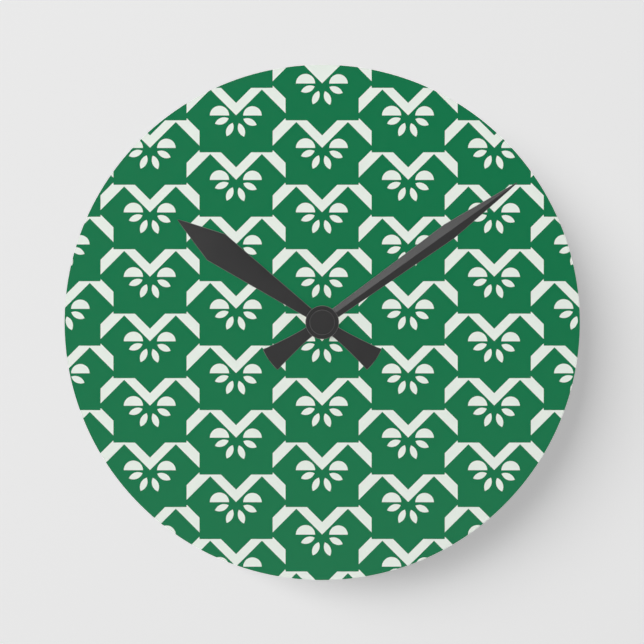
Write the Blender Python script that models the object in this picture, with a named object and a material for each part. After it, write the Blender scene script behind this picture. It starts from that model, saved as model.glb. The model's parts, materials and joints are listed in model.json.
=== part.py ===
"""Round acrylic wall clock with a printed dial, two hands and a battery quartz movement.

Sizes are in millimetres and become metres where a mesh is made. +Z is up and the dial faces
-Y. A depth is the distance in front of the wall, which is the plane y = 0. The origin is on
the wall, on the hand axis, at the centre of the movement's flat rear face. Directions in the
plane of the dial run counter-clockwise from +X as seen from the front.
"""

import math

import bmesh
import bpy
from mathutils import Vector

MM = 0.001
SEAT_GAP = 0.3
RUNNING_GAP = 0.08

# dial and its stack on the bushing, from the wall forward
CASE_DEPTH = 16.0
HANGER_THICKNESS = 1.0
GASKET_THICKNESS = 1.0
DIAL_RADIUS = 101.6
DIAL_THICKNESS = 3.0
DIAL_EDGE_BEVEL = 0.4
DIAL_SEGMENTS = 96
PRINT_RADIUS = 101.4
PRINT_THICKNESS = 0.25
STACK_HOLE_RADIUS = 4.3
WASHER_THICKNESS = 0.5
NUT_THICKNESS = 2.0
NUT_ACROSS_FLATS = 10.0

HANGER_REAR = CASE_DEPTH + SEAT_GAP
GASKET_REAR = HANGER_REAR + HANGER_THICKNESS + SEAT_GAP
DIAL_REAR = GASKET_REAR + GASKET_THICKNESS + SEAT_GAP
PRINT_REAR = DIAL_REAR + DIAL_THICKNESS + SEAT_GAP
WASHER_REAR = PRINT_REAR + PRINT_THICKNESS + SEAT_GAP
NUT_REAR = WASHER_REAR + WASHER_THICKNESS + SEAT_GAP
BUSHING_FRONT = NUT_REAR + NUT_THICKNESS + 0.3

# movement case
CASE_HALF = 28.0
CASE_CORNER = 3.0
CASE_WALL = 1.2
CASE_PARTING = 5.0
REAR_WALL = 1.2
INNER_HALF = CASE_HALF - CASE_WALL
TONGUE_THICKNESS = 0.8

# hand work, coaxial with the hands, from the outside in
BUSHING_RADIUS = 4.0
HOUR_TUBE_RADIUS = 2.5
HOUR_TUBE_BORE = 1.8
MINUTE_SHAFT_RADIUS = 1.7
MINUTE_PIVOT_RADIUS = 1.2
MINUTE_SHAFT_BORE = 0.53
MINUTE_SEAT_RADIUS = 1.55
MINUTE_FLATS = 1.25
PRESS_GAP = 0.05
SECOND_ARBOR_RADIUS = 0.45

# hands
HOUR_HAND_REAR = BUSHING_FRONT + 1.2
HAND_THICKNESS = 0.5
HOUR_HAND_ANGLE = 305.5
HOUR_HAND_LENGTH = 69.9
HOUR_HUB_RADIUS = 6.1
HOUR_TUBE_FRONT = HOUR_HAND_REAR + 1.0
MINUTE_HAND_REAR = HOUR_TUBE_FRONT + 1.0
MINUTE_HAND_ANGLE = 54.3
MINUTE_HAND_LENGTH = 94.1
MINUTE_HUB_RADIUS = 6.47
HUB_THICKNESS = 0.9
HOUR_COLLET_RADIUS = 2.85
MINUTE_COLLET_RADIUS = 2.4
COLLET_GAP = 0.25
COLLET_FLANGE = 0.7
COLLET_FLANGE_THICKNESS = 0.45
MINUTE_SHOULDER = MINUTE_HAND_REAR - COLLET_GAP - COLLET_FLANGE_THICKNESS - 0.1
CAP_RADIUS = 4.97
CAP_REAR = MINUTE_HAND_REAR + HUB_THICKNESS + SEAT_GAP
CAP_HEIGHT = 3.0
MINUTE_SHAFT_FRONT = CAP_REAR + 1.7
CAP_BORE_RADIUS = 1.75
CAP_BORE_DEPTH = 2.0
TAIL_END_RADIUS = 25.5
TAIL_END_HALF_WIDTH = 4.84
TAIL_ROOT_HALF_WIDTH = 2.0

# toothed wheels: teeth and the distance between the centres of each meshing pair
ROTOR_TEETH = 8
FIFTH_TEETH = 40
FIFTH_PINION_TEETH = 10
SECOND_TEETH = 60
SECOND_PINION_TEETH = 8
THIRD_TEETH = 64
THIRD_PINION_TEETH = 8
CENTRE_TEETH = 60
CANNON_TEETH = 12
MOTION_TEETH = 36
MOTION_PINION_TEETH = 10
HOUR_TEETH = 40
ROTOR_TO_FIFTH = 4.8
FIFTH_TO_SECOND = 8.75
SECOND_TO_THIRD = 9.0
MOTION_TO_CENTRE = 9.6
TOOTH_THINNING = 0.16
PRESSURE_ANGLE = math.radians(20.0)
FEWEST_WHEEL_TEETH = 16

# directions from the hand axis, and from the fifth wheel to the rotor
THIRD_DIRECTION = math.radians(20.0)
FIFTH_DIRECTION = math.radians(110.0)
MOTION_DIRECTION = math.radians(170.0)
ROTOR_DIRECTION = math.radians(60.0)

# depths of the layers in the movement, from the wall forward
PIVOT_REAR = 1.7
BOSS_FRONT = 2.2
FIFTH_WHEEL = (2.7, 3.3)
ROTOR_PINION = (2.6, 3.8)
FIFTH_PINION = (3.0, 4.9)
SECOND_WHEEL = (4.1, 4.7)
SECOND_PINION = (4.4, 6.6)
THIRD_WHEEL = (5.4, 6.0)
STATOR = (5.3, 6.1)
MAGNET = (5.0, 6.4)
MIDDLE_PLATE = (7.4, 8.6)
PIVOT_FRONT = 8.4
CENTRE_WHEEL = (10.0, 10.7)
CENTRE_SHOULDER = 10.9
THIRD_PINION = (9.7, 11.0)
CLUTCH = (9.0, 9.5)
CLUTCH_RADIUS = 2.8
CLUTCH_THICKNESS = 0.2
CANNON = (11.2, 12.5)
MOTION_WHEEL = (11.5, 12.2)
MOTION_PINION = (11.9, 13.7)
HOUR_WHEEL = (12.8, 13.5)
COLLAR = (13.9, 14.5)
COLLAR_RADIUS = 6.0
PIVOT_RADIUS = 0.35
ARBOR_RADIUS = 0.55
ROTOR_ARBOR_RADIUS = 0.42
MAGNET_RADIUS = 2.2
STEM_RADIUS = 0.75
STEM_FRONT = 14.9
KNOB = (0.25, 2.0)
KNOB_HUB_FRONT = 4.0
KNOB_RADIUS = 4.4
KNOB_OPENING_RADIUS = 5.0

# battery bay: the cell lies along X in the lower part of the case
CELL_RADIUS = 7.1
CELL_Z = -18.0
CELL_DEPTH = 7.5
CELL_NUB_END = 25.6
CELL_LENGTH = 50.5
CELL_NUB_RADIUS = 2.8
CELL_NUB_HEIGHT = 1.1
BAY_X = (-26.0, 26.2)
BAY_Z = (-25.8, -10.4)
BAY_WALL_X = (-25.4, 25.4)
BAY_WALL = 1.0
CONTACT_THICKNESS = 0.3
CONTACT_DEPTHS = (5.8, 10.3)
CONTACT_X = 26.35
CONTACT_RUN_Z = -8.95

# coil above the rotor
COIL_Z = 21.0
COIL_DEPTH = 6.9
CORE_HALF = (13.0, 1.2, 0.4)
BOBBIN_HALF_LENGTH = 8.8
BOBBIN_FLANGE = 0.8
BOBBIN_FLANGE_HALF = 3.6
BOBBIN_WALL = 0.4
COIL_RADIUS = 3.3

# middle plate and the pillars of the front case that carry it
PLATE_X = (-15.0, 19.5)
PLATE_Z = (-8.4, 16.3)
PILLARS = ((-13.3, -7.0), (17.8, -7.0), (17.8, 14.6), (-12.0, 14.4))
PILLAR_RADIUS = 1.4
PIN_RADIUS = 0.6
PEGS = ((-10.9, 14.0), (10.9, 14.0))
PEG_RADIUS = 0.8

# circuit board beside the coil
BOARD_X = (-25.2, -13.8)
BOARD_Z = (9.8, 25.2)
BOARD = (10.6, 11.4)
CHIP_AT = (-19.5, 20.5)
CRYSTAL_AT = (-23.3, 12.0)
CRYSTAL_RADIUS = 1.0
CRYSTAL_LENGTH = 6.2

# hanger: a strip that rises from the bushing, passes over the case and ends in a nail slot
HANGER_HALF_WIDTH = 8.0
HANGER_BOTTOM = -8.0
HANGER_BEND = 1.5
HANGER_OVER_CASE = CASE_HALF + 1.5
HANGER_TAB_DEPTH = 3.0
HANGER_TOP = 44.0
NAIL_SEAT_Z = 39.5
NAIL_SEAT_HALF_WIDTH = 1.6
NAIL_ENTRY_RADIUS = 3.2
NAIL_ENTRY_Z = 34.6


def direction(angle, distance):
    """The (x, z) place at a distance from the hand axis."""
    return distance * math.cos(angle), distance * math.sin(angle)


THIRD_AT = direction(THIRD_DIRECTION, SECOND_TO_THIRD)
FIFTH_AT = direction(FIFTH_DIRECTION, FIFTH_TO_SECOND)
MOTION_AT = direction(MOTION_DIRECTION, MOTION_TO_CENTRE)
ROTOR_AT = (
    FIFTH_AT[0] + ROTOR_TO_FIFTH * math.cos(ROTOR_DIRECTION),
    FIFTH_AT[1] + ROTOR_TO_FIFTH * math.sin(ROTOR_DIRECTION),
)
HAND_AXIS = (0.0, 0.0)


# ---------------------------------------------------------------- materials


def material(name, colour, roughness, metallic=0.0):
    """A Principled BSDF material with one colour, roughness and metallic value."""
    made = bpy.data.materials.get(name)
    if made is None:
        made = bpy.data.materials.new(name)
        made.use_nodes = True
        shader = made.node_tree.nodes["Principled BSDF"]
        shader.inputs["Base Color"].default_value = (*colour, 1.0)
        shader.inputs["Roughness"].default_value = roughness
        shader.inputs["Metallic"].default_value = metallic
    return made


def acrylic():
    return material("acrylic", (0.80, 0.88, 0.84), 0.12)


def printed_film():
    return material("printed_film", (0.015, 0.18, 0.07), 0.45)


def hand_black():
    return material("hand_black", (0.04, 0.038, 0.039), 0.45)


def case_plastic():
    return material("case_plastic", (0.02, 0.02, 0.022), 0.55)


def black_rubber():
    return material("black_rubber", (0.03, 0.03, 0.03), 0.8)


def natural_plastic():
    return material("natural_plastic", (0.85, 0.83, 0.76), 0.4)


def brass():
    return material("brass", (0.78, 0.57, 0.22), 0.3, 1.0)


def steel():
    return material("steel", (0.62, 0.62, 0.62), 0.35, 1.0)


def lamination_steel():
    return material("lamination_steel", (0.45, 0.45, 0.47), 0.4, 1.0)


def magnet_grey():
    return material("magnet_grey", (0.1, 0.1, 0.1), 0.4, 0.6)


def copper():
    return material("copper", (0.72, 0.30, 0.13), 0.35, 1.0)


def board_green():
    return material("board_green", (0.03, 0.2, 0.08), 0.4)


def chip_epoxy():
    return material("chip_epoxy", (0.015, 0.015, 0.015), 0.35)


def cell_wrap():
    return material("cell_wrap", (0.12, 0.14, 0.17), 0.3)


# ---------------------------------------------------------------- mesh builders


def place(name, bm, surface, at=HAND_AXIS, smooth_below=35.0):
    """Turns a mesh made around its own axis into an object at the place at, an (x, z) pair."""
    bmesh.ops.recalc_face_normals(bm, faces=bm.faces)
    bmesh.ops.scale(bm, vec=(MM, MM, MM), verts=bm.verts)
    mesh = bpy.data.meshes.new(name)
    bm.to_mesh(mesh)
    bm.free()
    mesh.shade_smooth()
    mesh.set_sharp_from_angle(angle=math.radians(smooth_below))
    mesh.materials.append(surface)
    made = bpy.data.objects.new(name, mesh)
    made.location = (at[0] * MM, 0.0, at[1] * MM)
    bpy.context.scene.collection.objects.link(made)
    return made


def turned(name, profile, segments, surface, at=HAND_AXIS, smooth_below=35.0):
    """A piece turned about Y. The profile holds (radius, depth) pairs.

    A profile that starts and ends on the axis makes a solid piece; any other one is closed
    from its last point to its first, and makes a ring.
    """
    bm = bmesh.new()
    points = [bm.verts.new((radius, -depth, 0.0)) for radius, depth in profile]
    pairs = list(zip(points, points[1:]))
    if profile[0][0] > 0.0:
        pairs.append((points[-1], points[0]))
    edges = [bm.edges.new(pair) for pair in pairs]
    bmesh.ops.spin(
        bm,
        geom=points + edges,
        cent=(0.0, 0.0, 0.0),
        axis=(0.0, 1.0, 0.0),
        angle=math.tau,
        steps=segments,
        use_merge=True,
    )
    bmesh.ops.remove_doubles(bm, verts=bm.verts, dist=0.0001)
    return place(name, bm, surface, at, smooth_below)


def prism(name, outline, rear, front, surface, at=HAND_AXIS, smooth_below=35.0):
    """A flat piece: an outline of (x, z) points extruded between two depths."""
    bm = bmesh.new()
    face = bm.faces.new([bm.verts.new((x, -rear, z)) for x, z in outline])
    raised = bmesh.ops.extrude_face_region(bm, geom=[face])["geom"]
    lifted = [item for item in raised if isinstance(item, bmesh.types.BMVert)]
    bmesh.ops.translate(bm, vec=(0.0, rear - front, 0.0), verts=lifted)
    return place(name, bm, surface, at, smooth_below)


def block(name, x_range, z_range, depth_range, surface):
    """A rectangular piece between two values of x, of z and of depth."""
    outline = [
        (x_range[0], z_range[0]),
        (x_range[1], z_range[0]),
        (x_range[1], z_range[1]),
        (x_range[0], z_range[1]),
    ]
    return prism(name, outline, depth_range[0], depth_range[1], surface)


def rod(name, radius, rear, front, segments, surface, at=HAND_AXIS):
    """A plain round rod along Y."""
    profile = [(0.0, front), (radius, front), (radius, rear), (0.0, rear)]
    return turned(name, profile, segments, surface, at)


def drill(radius, rear, front, at=HAND_AXIS, segments=32):
    """A cutter for a round hole along Y."""
    return rod("drill", radius, rear, front, segments, steel(), at)


def side_prism(name, outline, x_from, x_to, surface):
    """A piece with an outline of (depth, z) points, extruded along X."""
    bm = bmesh.new()
    face = bm.faces.new([bm.verts.new((x_from, -depth, z)) for depth, z in outline])
    raised = bmesh.ops.extrude_face_region(bm, geom=[face])["geom"]
    lifted = [item for item in raised if isinstance(item, bmesh.types.BMVert)]
    bmesh.ops.translate(bm, vec=(x_to - x_from, 0.0, 0.0), verts=lifted)
    return place(name, bm, surface)


def combine(target, tool, operation):
    """Joins a tool to the target, or cuts it out, and removes the tool."""
    modifier = target.modifiers.new(tool.name, "BOOLEAN")
    modifier.operation = operation
    modifier.solver = "EXACT"
    modifier.object = tool
    graph = bpy.context.evaluated_depsgraph_get()
    result = bpy.data.meshes.new_from_object(target.evaluated_get(graph))
    target.modifiers.clear()
    target.data = result
    result.name = target.name
    bpy.data.objects.remove(tool)


def fuse(target, *tools):
    for tool in tools:
        combine(target, tool, "UNION")
    finish_shading(target)
    return target


def cut(target, *tools):
    for tool in tools:
        combine(target, tool, "DIFFERENCE")
    finish_shading(target)
    return target


def finish_shading(made, smooth_below=35.0):
    made.data.shade_smooth()
    made.data.set_sharp_from_angle(angle=math.radians(smooth_below))


def circle(radius, segments, centre=(0.0, 0.0), turn=0.0):
    """Outline points of a circle or a regular polygon."""
    return [
        (
            centre[0] + radius * math.cos(turn + math.tau * step / segments),
            centre[1] + radius * math.sin(turn + math.tau * step / segments),
        )
        for step in range(segments)
    ]


def rounded_square(half, corner, steps=5):
    """Outline of a square with arcs of the given radius at its corners."""
    points = []
    for quarter in range(4):
        middle = math.radians(45.0 + 90.0 * quarter)
        centre_x = math.copysign(half - corner, math.cos(middle))
        centre_z = math.copysign(half - corner, math.sin(middle))
        for step in range(steps + 1):
            angle = math.radians(90.0 * quarter + 90.0 * step / steps)
            points.append(
                (centre_x + corner * math.cos(angle), centre_z + corner * math.sin(angle))
            )
    return points


def ribbon(centre_line, thickness):
    """Outline of a bent strip of even thickness along a centre line of (a, b) points."""
    left, right = [], []
    for index, point in enumerate(centre_line):
        here = Vector(point)
        before = here - Vector(centre_line[index - 1]) if index else None
        after = None
        if index + 1 < len(centre_line):
            after = Vector(centre_line[index + 1]) - here
        steps = [step.normalized() for step in (before, after) if step is not None]
        normals = [Vector((-step.y, step.x)) for step in steps]
        side = sum(normals, Vector((0.0, 0.0))).normalized()
        reach = thickness / 2.0 / side.dot(normals[0])
        left.append(tuple(here + side * reach))
        right.append(tuple(here - side * reach))
    return left + right[::-1]


# ---------------------------------------------------------------- teeth


def tooth_outline(teeth, module, phase):
    """Outline of a toothed wheel whose size is set by its module.

    Pinion leaves have radial flanks at the root, and wheel teeth widen towards it.
    """
    pitch = module * teeth / 2.0
    tip = pitch + module
    root = pitch - 1.25 * module
    half = math.pi / 2.0 / teeth * (1.0 - TOOTH_THINNING)
    tip_half = half - module * math.tan(PRESSURE_ANGLE) / tip
    root_half = half
    if teeth >= FEWEST_WHEEL_TEETH:
        root_half += 0.9 * module * math.tan(PRESSURE_ANGLE) / root
    points = []
    for tooth in range(teeth):
        middle = phase + math.tau * tooth / teeth
        corners = ((root, -root_half), (tip, -tip_half), (tip, tip_half), (root, root_half))
        for radius, turn in corners:
            angle = middle + turn
            points.append((radius * math.cos(angle), radius * math.sin(angle)))
    return points


def meshing_phase(teeth, phase, other_teeth, towards):
    """The phase of a wheel that meshes with one in the direction towards, gap against tooth."""
    return towards + math.pi - (math.pi - teeth * (towards - phase)) / other_teeth


def module_of(distance, teeth, other_teeth):
    return 2.0 * distance / (teeth + other_teeth)


ROTOR_MODULE = module_of(ROTOR_TO_FIFTH, ROTOR_TEETH, FIFTH_TEETH)
FIFTH_MODULE = module_of(FIFTH_TO_SECOND, FIFTH_PINION_TEETH, SECOND_TEETH)
SECOND_MODULE = module_of(SECOND_TO_THIRD, SECOND_PINION_TEETH, THIRD_TEETH)
THIRD_MODULE = module_of(SECOND_TO_THIRD, THIRD_PINION_TEETH, CENTRE_TEETH)
CANNON_MODULE = module_of(MOTION_TO_CENTRE, CANNON_TEETH, MOTION_TEETH)
MOTION_MODULE = module_of(MOTION_TO_CENTRE, MOTION_PINION_TEETH, HOUR_TEETH)

FIFTH_PHASE = meshing_phase(ROTOR_TEETH, 0.0, FIFTH_TEETH, ROTOR_DIRECTION + math.pi)
SECOND_PHASE = meshing_phase(FIFTH_PINION_TEETH, 0.0, SECOND_TEETH, FIFTH_DIRECTION + math.pi)
THIRD_PHASE = meshing_phase(SECOND_PINION_TEETH, 0.0, THIRD_TEETH, THIRD_DIRECTION)
CENTRE_PHASE = meshing_phase(THIRD_PINION_TEETH, 0.0, CENTRE_TEETH, THIRD_DIRECTION + math.pi)
MOTION_PHASE = meshing_phase(CANNON_TEETH, 0.0, MOTION_TEETH, MOTION_DIRECTION)
HOUR_PHASE = meshing_phase(MOTION_PINION_TEETH, 0.0, HOUR_TEETH, MOTION_DIRECTION + math.pi)


def toothed(name, teeth, module, phase, layer, surface, at=HAND_AXIS):
    outline = tooth_outline(teeth, module, phase)
    return prism(name, outline, layer[0], layer[1], surface, at, smooth_below=20.0)


def pivoted_arbor(name, rear, front, surface, at):
    """A round arbor that steps down to a thinner pivot at each end."""
    shoulder_rear = BOSS_FRONT + 0.2
    profile = [
        (0.0, front),
        (PIVOT_RADIUS, front),
        (PIVOT_RADIUS, MIDDLE_PLATE[0] - 0.2),
        (ARBOR_RADIUS, MIDDLE_PLATE[0] - 0.2),
        (ARBOR_RADIUS, shoulder_rear),
        (PIVOT_RADIUS, shoulder_rear),
        (PIVOT_RADIUS, rear),
        (0.0, rear),
    ]
    return turned(name, profile, 16, surface, at)


# ---------------------------------------------------------------- dial


def make_dial_disc():
    front = DIAL_REAR + DIAL_THICKNESS
    rim = DIAL_RADIUS - DIAL_EDGE_BEVEL
    profile = [
        (STACK_HOLE_RADIUS, front),
        (rim, front),
        (DIAL_RADIUS, front - DIAL_EDGE_BEVEL),
        (DIAL_RADIUS, DIAL_REAR + DIAL_EDGE_BEVEL),
        (rim, DIAL_REAR),
        (STACK_HOLE_RADIUS, DIAL_REAR),
    ]
    turned("dial_disc", profile, DIAL_SEGMENTS, acrylic())


def make_dial_print():
    front = PRINT_REAR + PRINT_THICKNESS
    profile = [
        (STACK_HOLE_RADIUS, front),
        (PRINT_RADIUS, front),
        (PRINT_RADIUS, PRINT_REAR),
        (STACK_HOLE_RADIUS, PRINT_REAR),
    ]
    turned("dial_print", profile, DIAL_SEGMENTS, printed_film())


# ---------------------------------------------------------------- hands


def tail_half_width(along):
    """Half width of the flared tail at a distance behind the hand axis."""
    end = TAIL_END_RADIUS * math.cos(math.asin(TAIL_END_HALF_WIDTH / TAIL_END_RADIUS))
    share = (along - MINUTE_HUB_RADIUS) / (end - MINUTE_HUB_RADIUS)
    flare = TAIL_END_HALF_WIDTH - TAIL_ROOT_HALF_WIDTH
    return TAIL_ROOT_HALF_WIDTH + flare * max(share, 0.0) ** 1.35


def tail_stations():
    """Sections of the tail from its round end to the hub: (place, half width, crest)."""
    corner = math.asin(TAIL_END_HALF_WIDTH / TAIL_END_RADIUS)
    stations = []
    for step in range(1, 6):
        angle = corner * step / 5.0
        half_width = TAIL_END_RADIUS * math.sin(angle)
        stations.append((-TAIL_END_RADIUS * math.cos(angle), half_width, 0.0))
    for along in (22.0, 19.0, 16.0, 12.5, 9.0, MINUTE_HUB_RADIUS):
        stations.append((-along, tail_half_width(along), 0.0))
    stations.append((0.0, TAIL_ROOT_HALF_WIDTH, 0.0))
    return stations


def hand_plate(name, blade_stations, rear):
    """A stamped hand: a flat plate whose blade rises to a crease along its middle."""
    bm = bmesh.new()
    sections = []
    for along, half_width, crest in tail_stations() + blade_stations:
        front = rear + HAND_THICKNESS
        sections.append(
            [
                bm.verts.new((-half_width, -rear, along)),
                bm.verts.new((0.0, -rear, along)),
                bm.verts.new((half_width, -rear, along)),
                bm.verts.new((half_width, -front, along)),
                bm.verts.new((0.0, -front - crest, along)),
                bm.verts.new((-half_width, -front, along)),
            ]
        )
    for section, following in zip(sections, sections[1:]):
        for corner in range(6):
            beside = (corner + 1) % 6
            bm.faces.new(
                (section[corner], section[beside], following[beside], following[corner])
            )
    bm.faces.new(sections[0])
    bm.faces.new(sections[-1])
    return place(name, bm, hand_black(), smooth_below=8.0)


def hub(name, radius, rear, thickness):
    """The round hub of a hand, with a bevelled front edge."""
    bevel = 0.3
    front = rear + thickness
    profile = [
        (0.0, front),
        (radius - bevel, front),
        (radius, front - bevel),
        (radius, rear),
        (0.0, rear),
    ]
    return turned(name, profile, 40, hand_black())


def make_hour_hand():
    blade = [
        (6.5, 1.84, 0.05),
        (51.1, 6.1, 0.3),
        (HOUR_HAND_LENGTH, 0.12, 0.02),
    ]
    hand = hand_plate("hour_hand", blade, HOUR_HAND_REAR)
    fuse(hand, hub("hour_hub", HOUR_HUB_RADIUS, HOUR_HAND_REAR, HAND_THICKNESS + 0.2))
    hole = HOUR_COLLET_RADIUS + COLLET_GAP
    cut(hand, drill(hole, HOUR_HAND_REAR - 2.0, HOUR_HAND_REAR + 3.0))
    hand.rotation_euler.y = math.radians(HOUR_HAND_ANGLE)
    finish_shading(hand, 8.0)


def make_minute_hand():
    blade = [
        (6.5, 1.9, 0.35),
        (61.6, 3.2, 0.6),
        (MINUTE_HAND_LENGTH, 0.12, 0.02),
    ]
    hand = hand_plate("minute_hand", blade, MINUTE_HAND_REAR)
    fuse(hand, hub("minute_hub", MINUTE_HUB_RADIUS, MINUTE_HAND_REAR, HUB_THICKNESS))
    hole = MINUTE_COLLET_RADIUS + COLLET_GAP
    cut(hand, drill(hole, MINUTE_HAND_REAR - 2.0, MINUTE_HAND_REAR + 3.0))
    hand.rotation_euler.y = math.radians(MINUTE_HAND_ANGLE)
    finish_shading(hand, 8.0)


def flatted_circle(radius, flats, segments=32):
    """Outline of a circle with its two sides cut flat."""
    return [(max(-flats, min(flats, x)), z) for x, z in circle(radius, segments)]


def collet(name, radius, bore_tool, hand_rear, front):
    """A bush riveted in a hand: a sleeve with a flange behind the hand."""
    flange_front = hand_rear - COLLET_GAP
    flange_rear = flange_front - COLLET_FLANGE_THICKNESS
    profile = [
        (0.0, front),
        (radius, front),
        (radius, flange_front),
        (radius + COLLET_FLANGE, flange_front),
        (radius + COLLET_FLANGE, flange_rear),
        (0.0, flange_rear),
    ]
    return cut(turned(name, profile, 24, brass()), bore_tool)


def make_collets():
    rear, front = HOUR_HAND_REAR - 2.0, HOUR_HAND_REAR + 2.0
    bore = drill(HOUR_TUBE_RADIUS + PRESS_GAP, rear, front)
    collet("hour_hand_collet", HOUR_COLLET_RADIUS, bore, HOUR_HAND_REAR, HOUR_HAND_REAR + 0.9)
    rear, front = MINUTE_HAND_REAR - 2.0, MINUTE_HAND_REAR + 2.0
    outline = flatted_circle(MINUTE_SEAT_RADIUS + PRESS_GAP, MINUTE_FLATS + PRESS_GAP)
    bore = prism("bore", outline, rear, front, steel())
    front = MINUTE_HAND_REAR + HUB_THICKNESS
    collet("minute_hand_collet", MINUTE_COLLET_RADIUS, bore, MINUTE_HAND_REAR, front)


def make_cap_nut():
    front = CAP_REAR + CAP_HEIGHT
    profile = [
        (0.0, front),
        (CAP_RADIUS - 0.9, front),
        (CAP_RADIUS - 0.35, front - 0.12),
        (CAP_RADIUS, front - 0.5),
        (CAP_RADIUS, CAP_REAR),
        (CAP_BORE_RADIUS, CAP_REAR),
        (CAP_BORE_RADIUS, CAP_REAR + CAP_BORE_DEPTH),
        (0.0, CAP_REAR + CAP_BORE_DEPTH),
    ]
    turned("cap_nut", profile, 40, hand_black())


# ---------------------------------------------------------------- clamping stack


def make_bushing():
    """The threaded bushing: the thread is a row of rings, and the collar bears on the case."""
    groove = 0.3
    pitch = 1.2
    bore = HOUR_TUBE_RADIUS + RUNNING_GAP
    profile = [(bore, BUSHING_FRONT), (BUSHING_RADIUS - groove, BUSHING_FRONT)]
    threads = int((BUSHING_FRONT - CASE_DEPTH) / pitch)
    for thread in range(threads):
        crest = BUSHING_FRONT - (thread + 0.5) * pitch
        profile.append((BUSHING_RADIUS, crest))
        profile.append((BUSHING_RADIUS - groove, crest - 0.5 * pitch))
    profile.append((BUSHING_RADIUS, CASE_DEPTH))
    profile.append((BUSHING_RADIUS, COLLAR[1]))
    profile.append((COLLAR_RADIUS, COLLAR[1]))
    profile.append((COLLAR_RADIUS, COLLAR[0]))
    profile.append((bore, COLLAR[0]))
    turned("threaded_bushing", profile, 20, brass())


def ring(name, bore, radius, rear, thickness, segments, surface):
    front = rear + thickness
    profile = [(bore, front), (radius, front), (radius, rear), (bore, rear)]
    return turned(name, profile, segments, surface)


def make_clamping_rings():
    ring("dial_washer", STACK_HOLE_RADIUS, 6.1, WASHER_REAR, WASHER_THICKNESS, 32, brass())
    ring("rubber_gasket", STACK_HOLE_RADIUS, 11.0, GASKET_REAR, GASKET_THICKNESS, 32, black_rubber())


def make_hex_nut():
    corner_radius = NUT_ACROSS_FLATS / 2.0 / math.cos(math.radians(30.0))
    outline = circle(corner_radius, 6)
    nut = prism("hex_nut", outline, NUT_REAR, NUT_REAR + NUT_THICKNESS, brass())
    cut(nut, drill(STACK_HOLE_RADIUS, NUT_REAR - 1.0, NUT_REAR + NUT_THICKNESS + 1.0))


def hanger_line():
    """Middle line of the hanger strip as (depth, z) points, with round bends."""
    front = HANGER_REAR + HANGER_THICKNESS / 2.0
    steps = 4
    line = [(front, HANGER_BOTTOM)]
    for step in range(steps + 1):
        angle = math.radians(90.0 * step / steps)
        depth = front - HANGER_BEND * (1.0 - math.cos(angle))
        line.append((depth, HANGER_OVER_CASE - HANGER_BEND * (1.0 - math.sin(angle))))
    for step in range(steps + 1):
        angle = math.radians(90.0 * step / steps)
        depth = HANGER_TAB_DEPTH + HANGER_BEND * (1.0 - math.sin(angle))
        line.append((depth, HANGER_OVER_CASE + HANGER_BEND * (1.0 - math.cos(angle))))
    line.append((HANGER_TAB_DEPTH, HANGER_TOP))
    return line


def make_hanger():
    outline = ribbon(hanger_line(), HANGER_THICKNESS)
    strip = side_prism("hanger", outline, -HANGER_HALF_WIDTH, HANGER_HALF_WIDTH, steel())
    slot = [(NAIL_SEAT_HALF_WIDTH, NAIL_SEAT_Z), (-NAIL_SEAT_HALF_WIDTH, NAIL_SEAT_Z)]
    for step in range(9):
        angle = math.radians(180.0 + 180.0 * step / 8)
        slot.append(
            (
                NAIL_ENTRY_RADIUS * math.cos(angle),
                NAIL_ENTRY_Z + NAIL_ENTRY_RADIUS * math.sin(angle),
            )
        )
    slot_rear, slot_front = HANGER_TAB_DEPTH - 1.5, HANGER_TAB_DEPTH + 1.5
    cut(strip, prism("slot", slot, slot_rear, slot_front, steel()))
    cut(strip, drill(STACK_HOLE_RADIUS, HANGER_REAR - 1.0, HANGER_REAR + 3.0))
    chamfer = 3.0
    for side in (-1.0, 1.0):
        corner = [
            (side * (HANGER_HALF_WIDTH - chamfer), HANGER_TOP + 1.0),
            (side * (HANGER_HALF_WIDTH - chamfer), HANGER_TOP),
            (side * HANGER_HALF_WIDTH, HANGER_TOP - chamfer),
            (side * (HANGER_HALF_WIDTH + 1.0), HANGER_TOP - chamfer),
            (side * (HANGER_HALF_WIDTH + 1.0), HANGER_TOP + 1.0),
        ]
        cut(strip, prism("corner", corner, slot_rear, slot_front, steel()))


# ---------------------------------------------------------------- movement case


def post(radius, rear, front, at, segments=20):
    return rod("post", radius, rear, front, segments, case_plastic(), at)


def make_front_case():
    rear = CASE_PARTING + SEAT_GAP
    inside = CASE_DEPTH - CASE_WALL
    case = prism(
        "movement_front_case",
        rounded_square(CASE_HALF, CASE_CORNER),
        rear,
        CASE_DEPTH,
        case_plastic(),
    )
    pocket = rounded_square(INNER_HALF, CASE_CORNER - CASE_WALL)
    cut(case, prism("pocket", pocket, rear - 1.0, inside, case_plastic()))
    fuse(case, post(2.0 * STEM_RADIUS, COLLAR[0], inside + 0.5, MOTION_AT))
    for at in PILLARS:
        shoulder = MIDDLE_PLATE[1] + SEAT_GAP
        fuse(case, post(PILLAR_RADIUS, shoulder, inside + 0.5, at))
        fuse(case, post(PIN_RADIUS, MIDDLE_PLATE[0], shoulder + 0.5, at, 12))
    cut(case, drill(BUSHING_RADIUS + SEAT_GAP, inside - 1.0, CASE_DEPTH + 1.0))
    cut(case, drill(STEM_RADIUS + RUNNING_GAP, COLLAR[0] - 1.0, STEM_FRONT + 0.3, MOTION_AT, 16))


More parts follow.
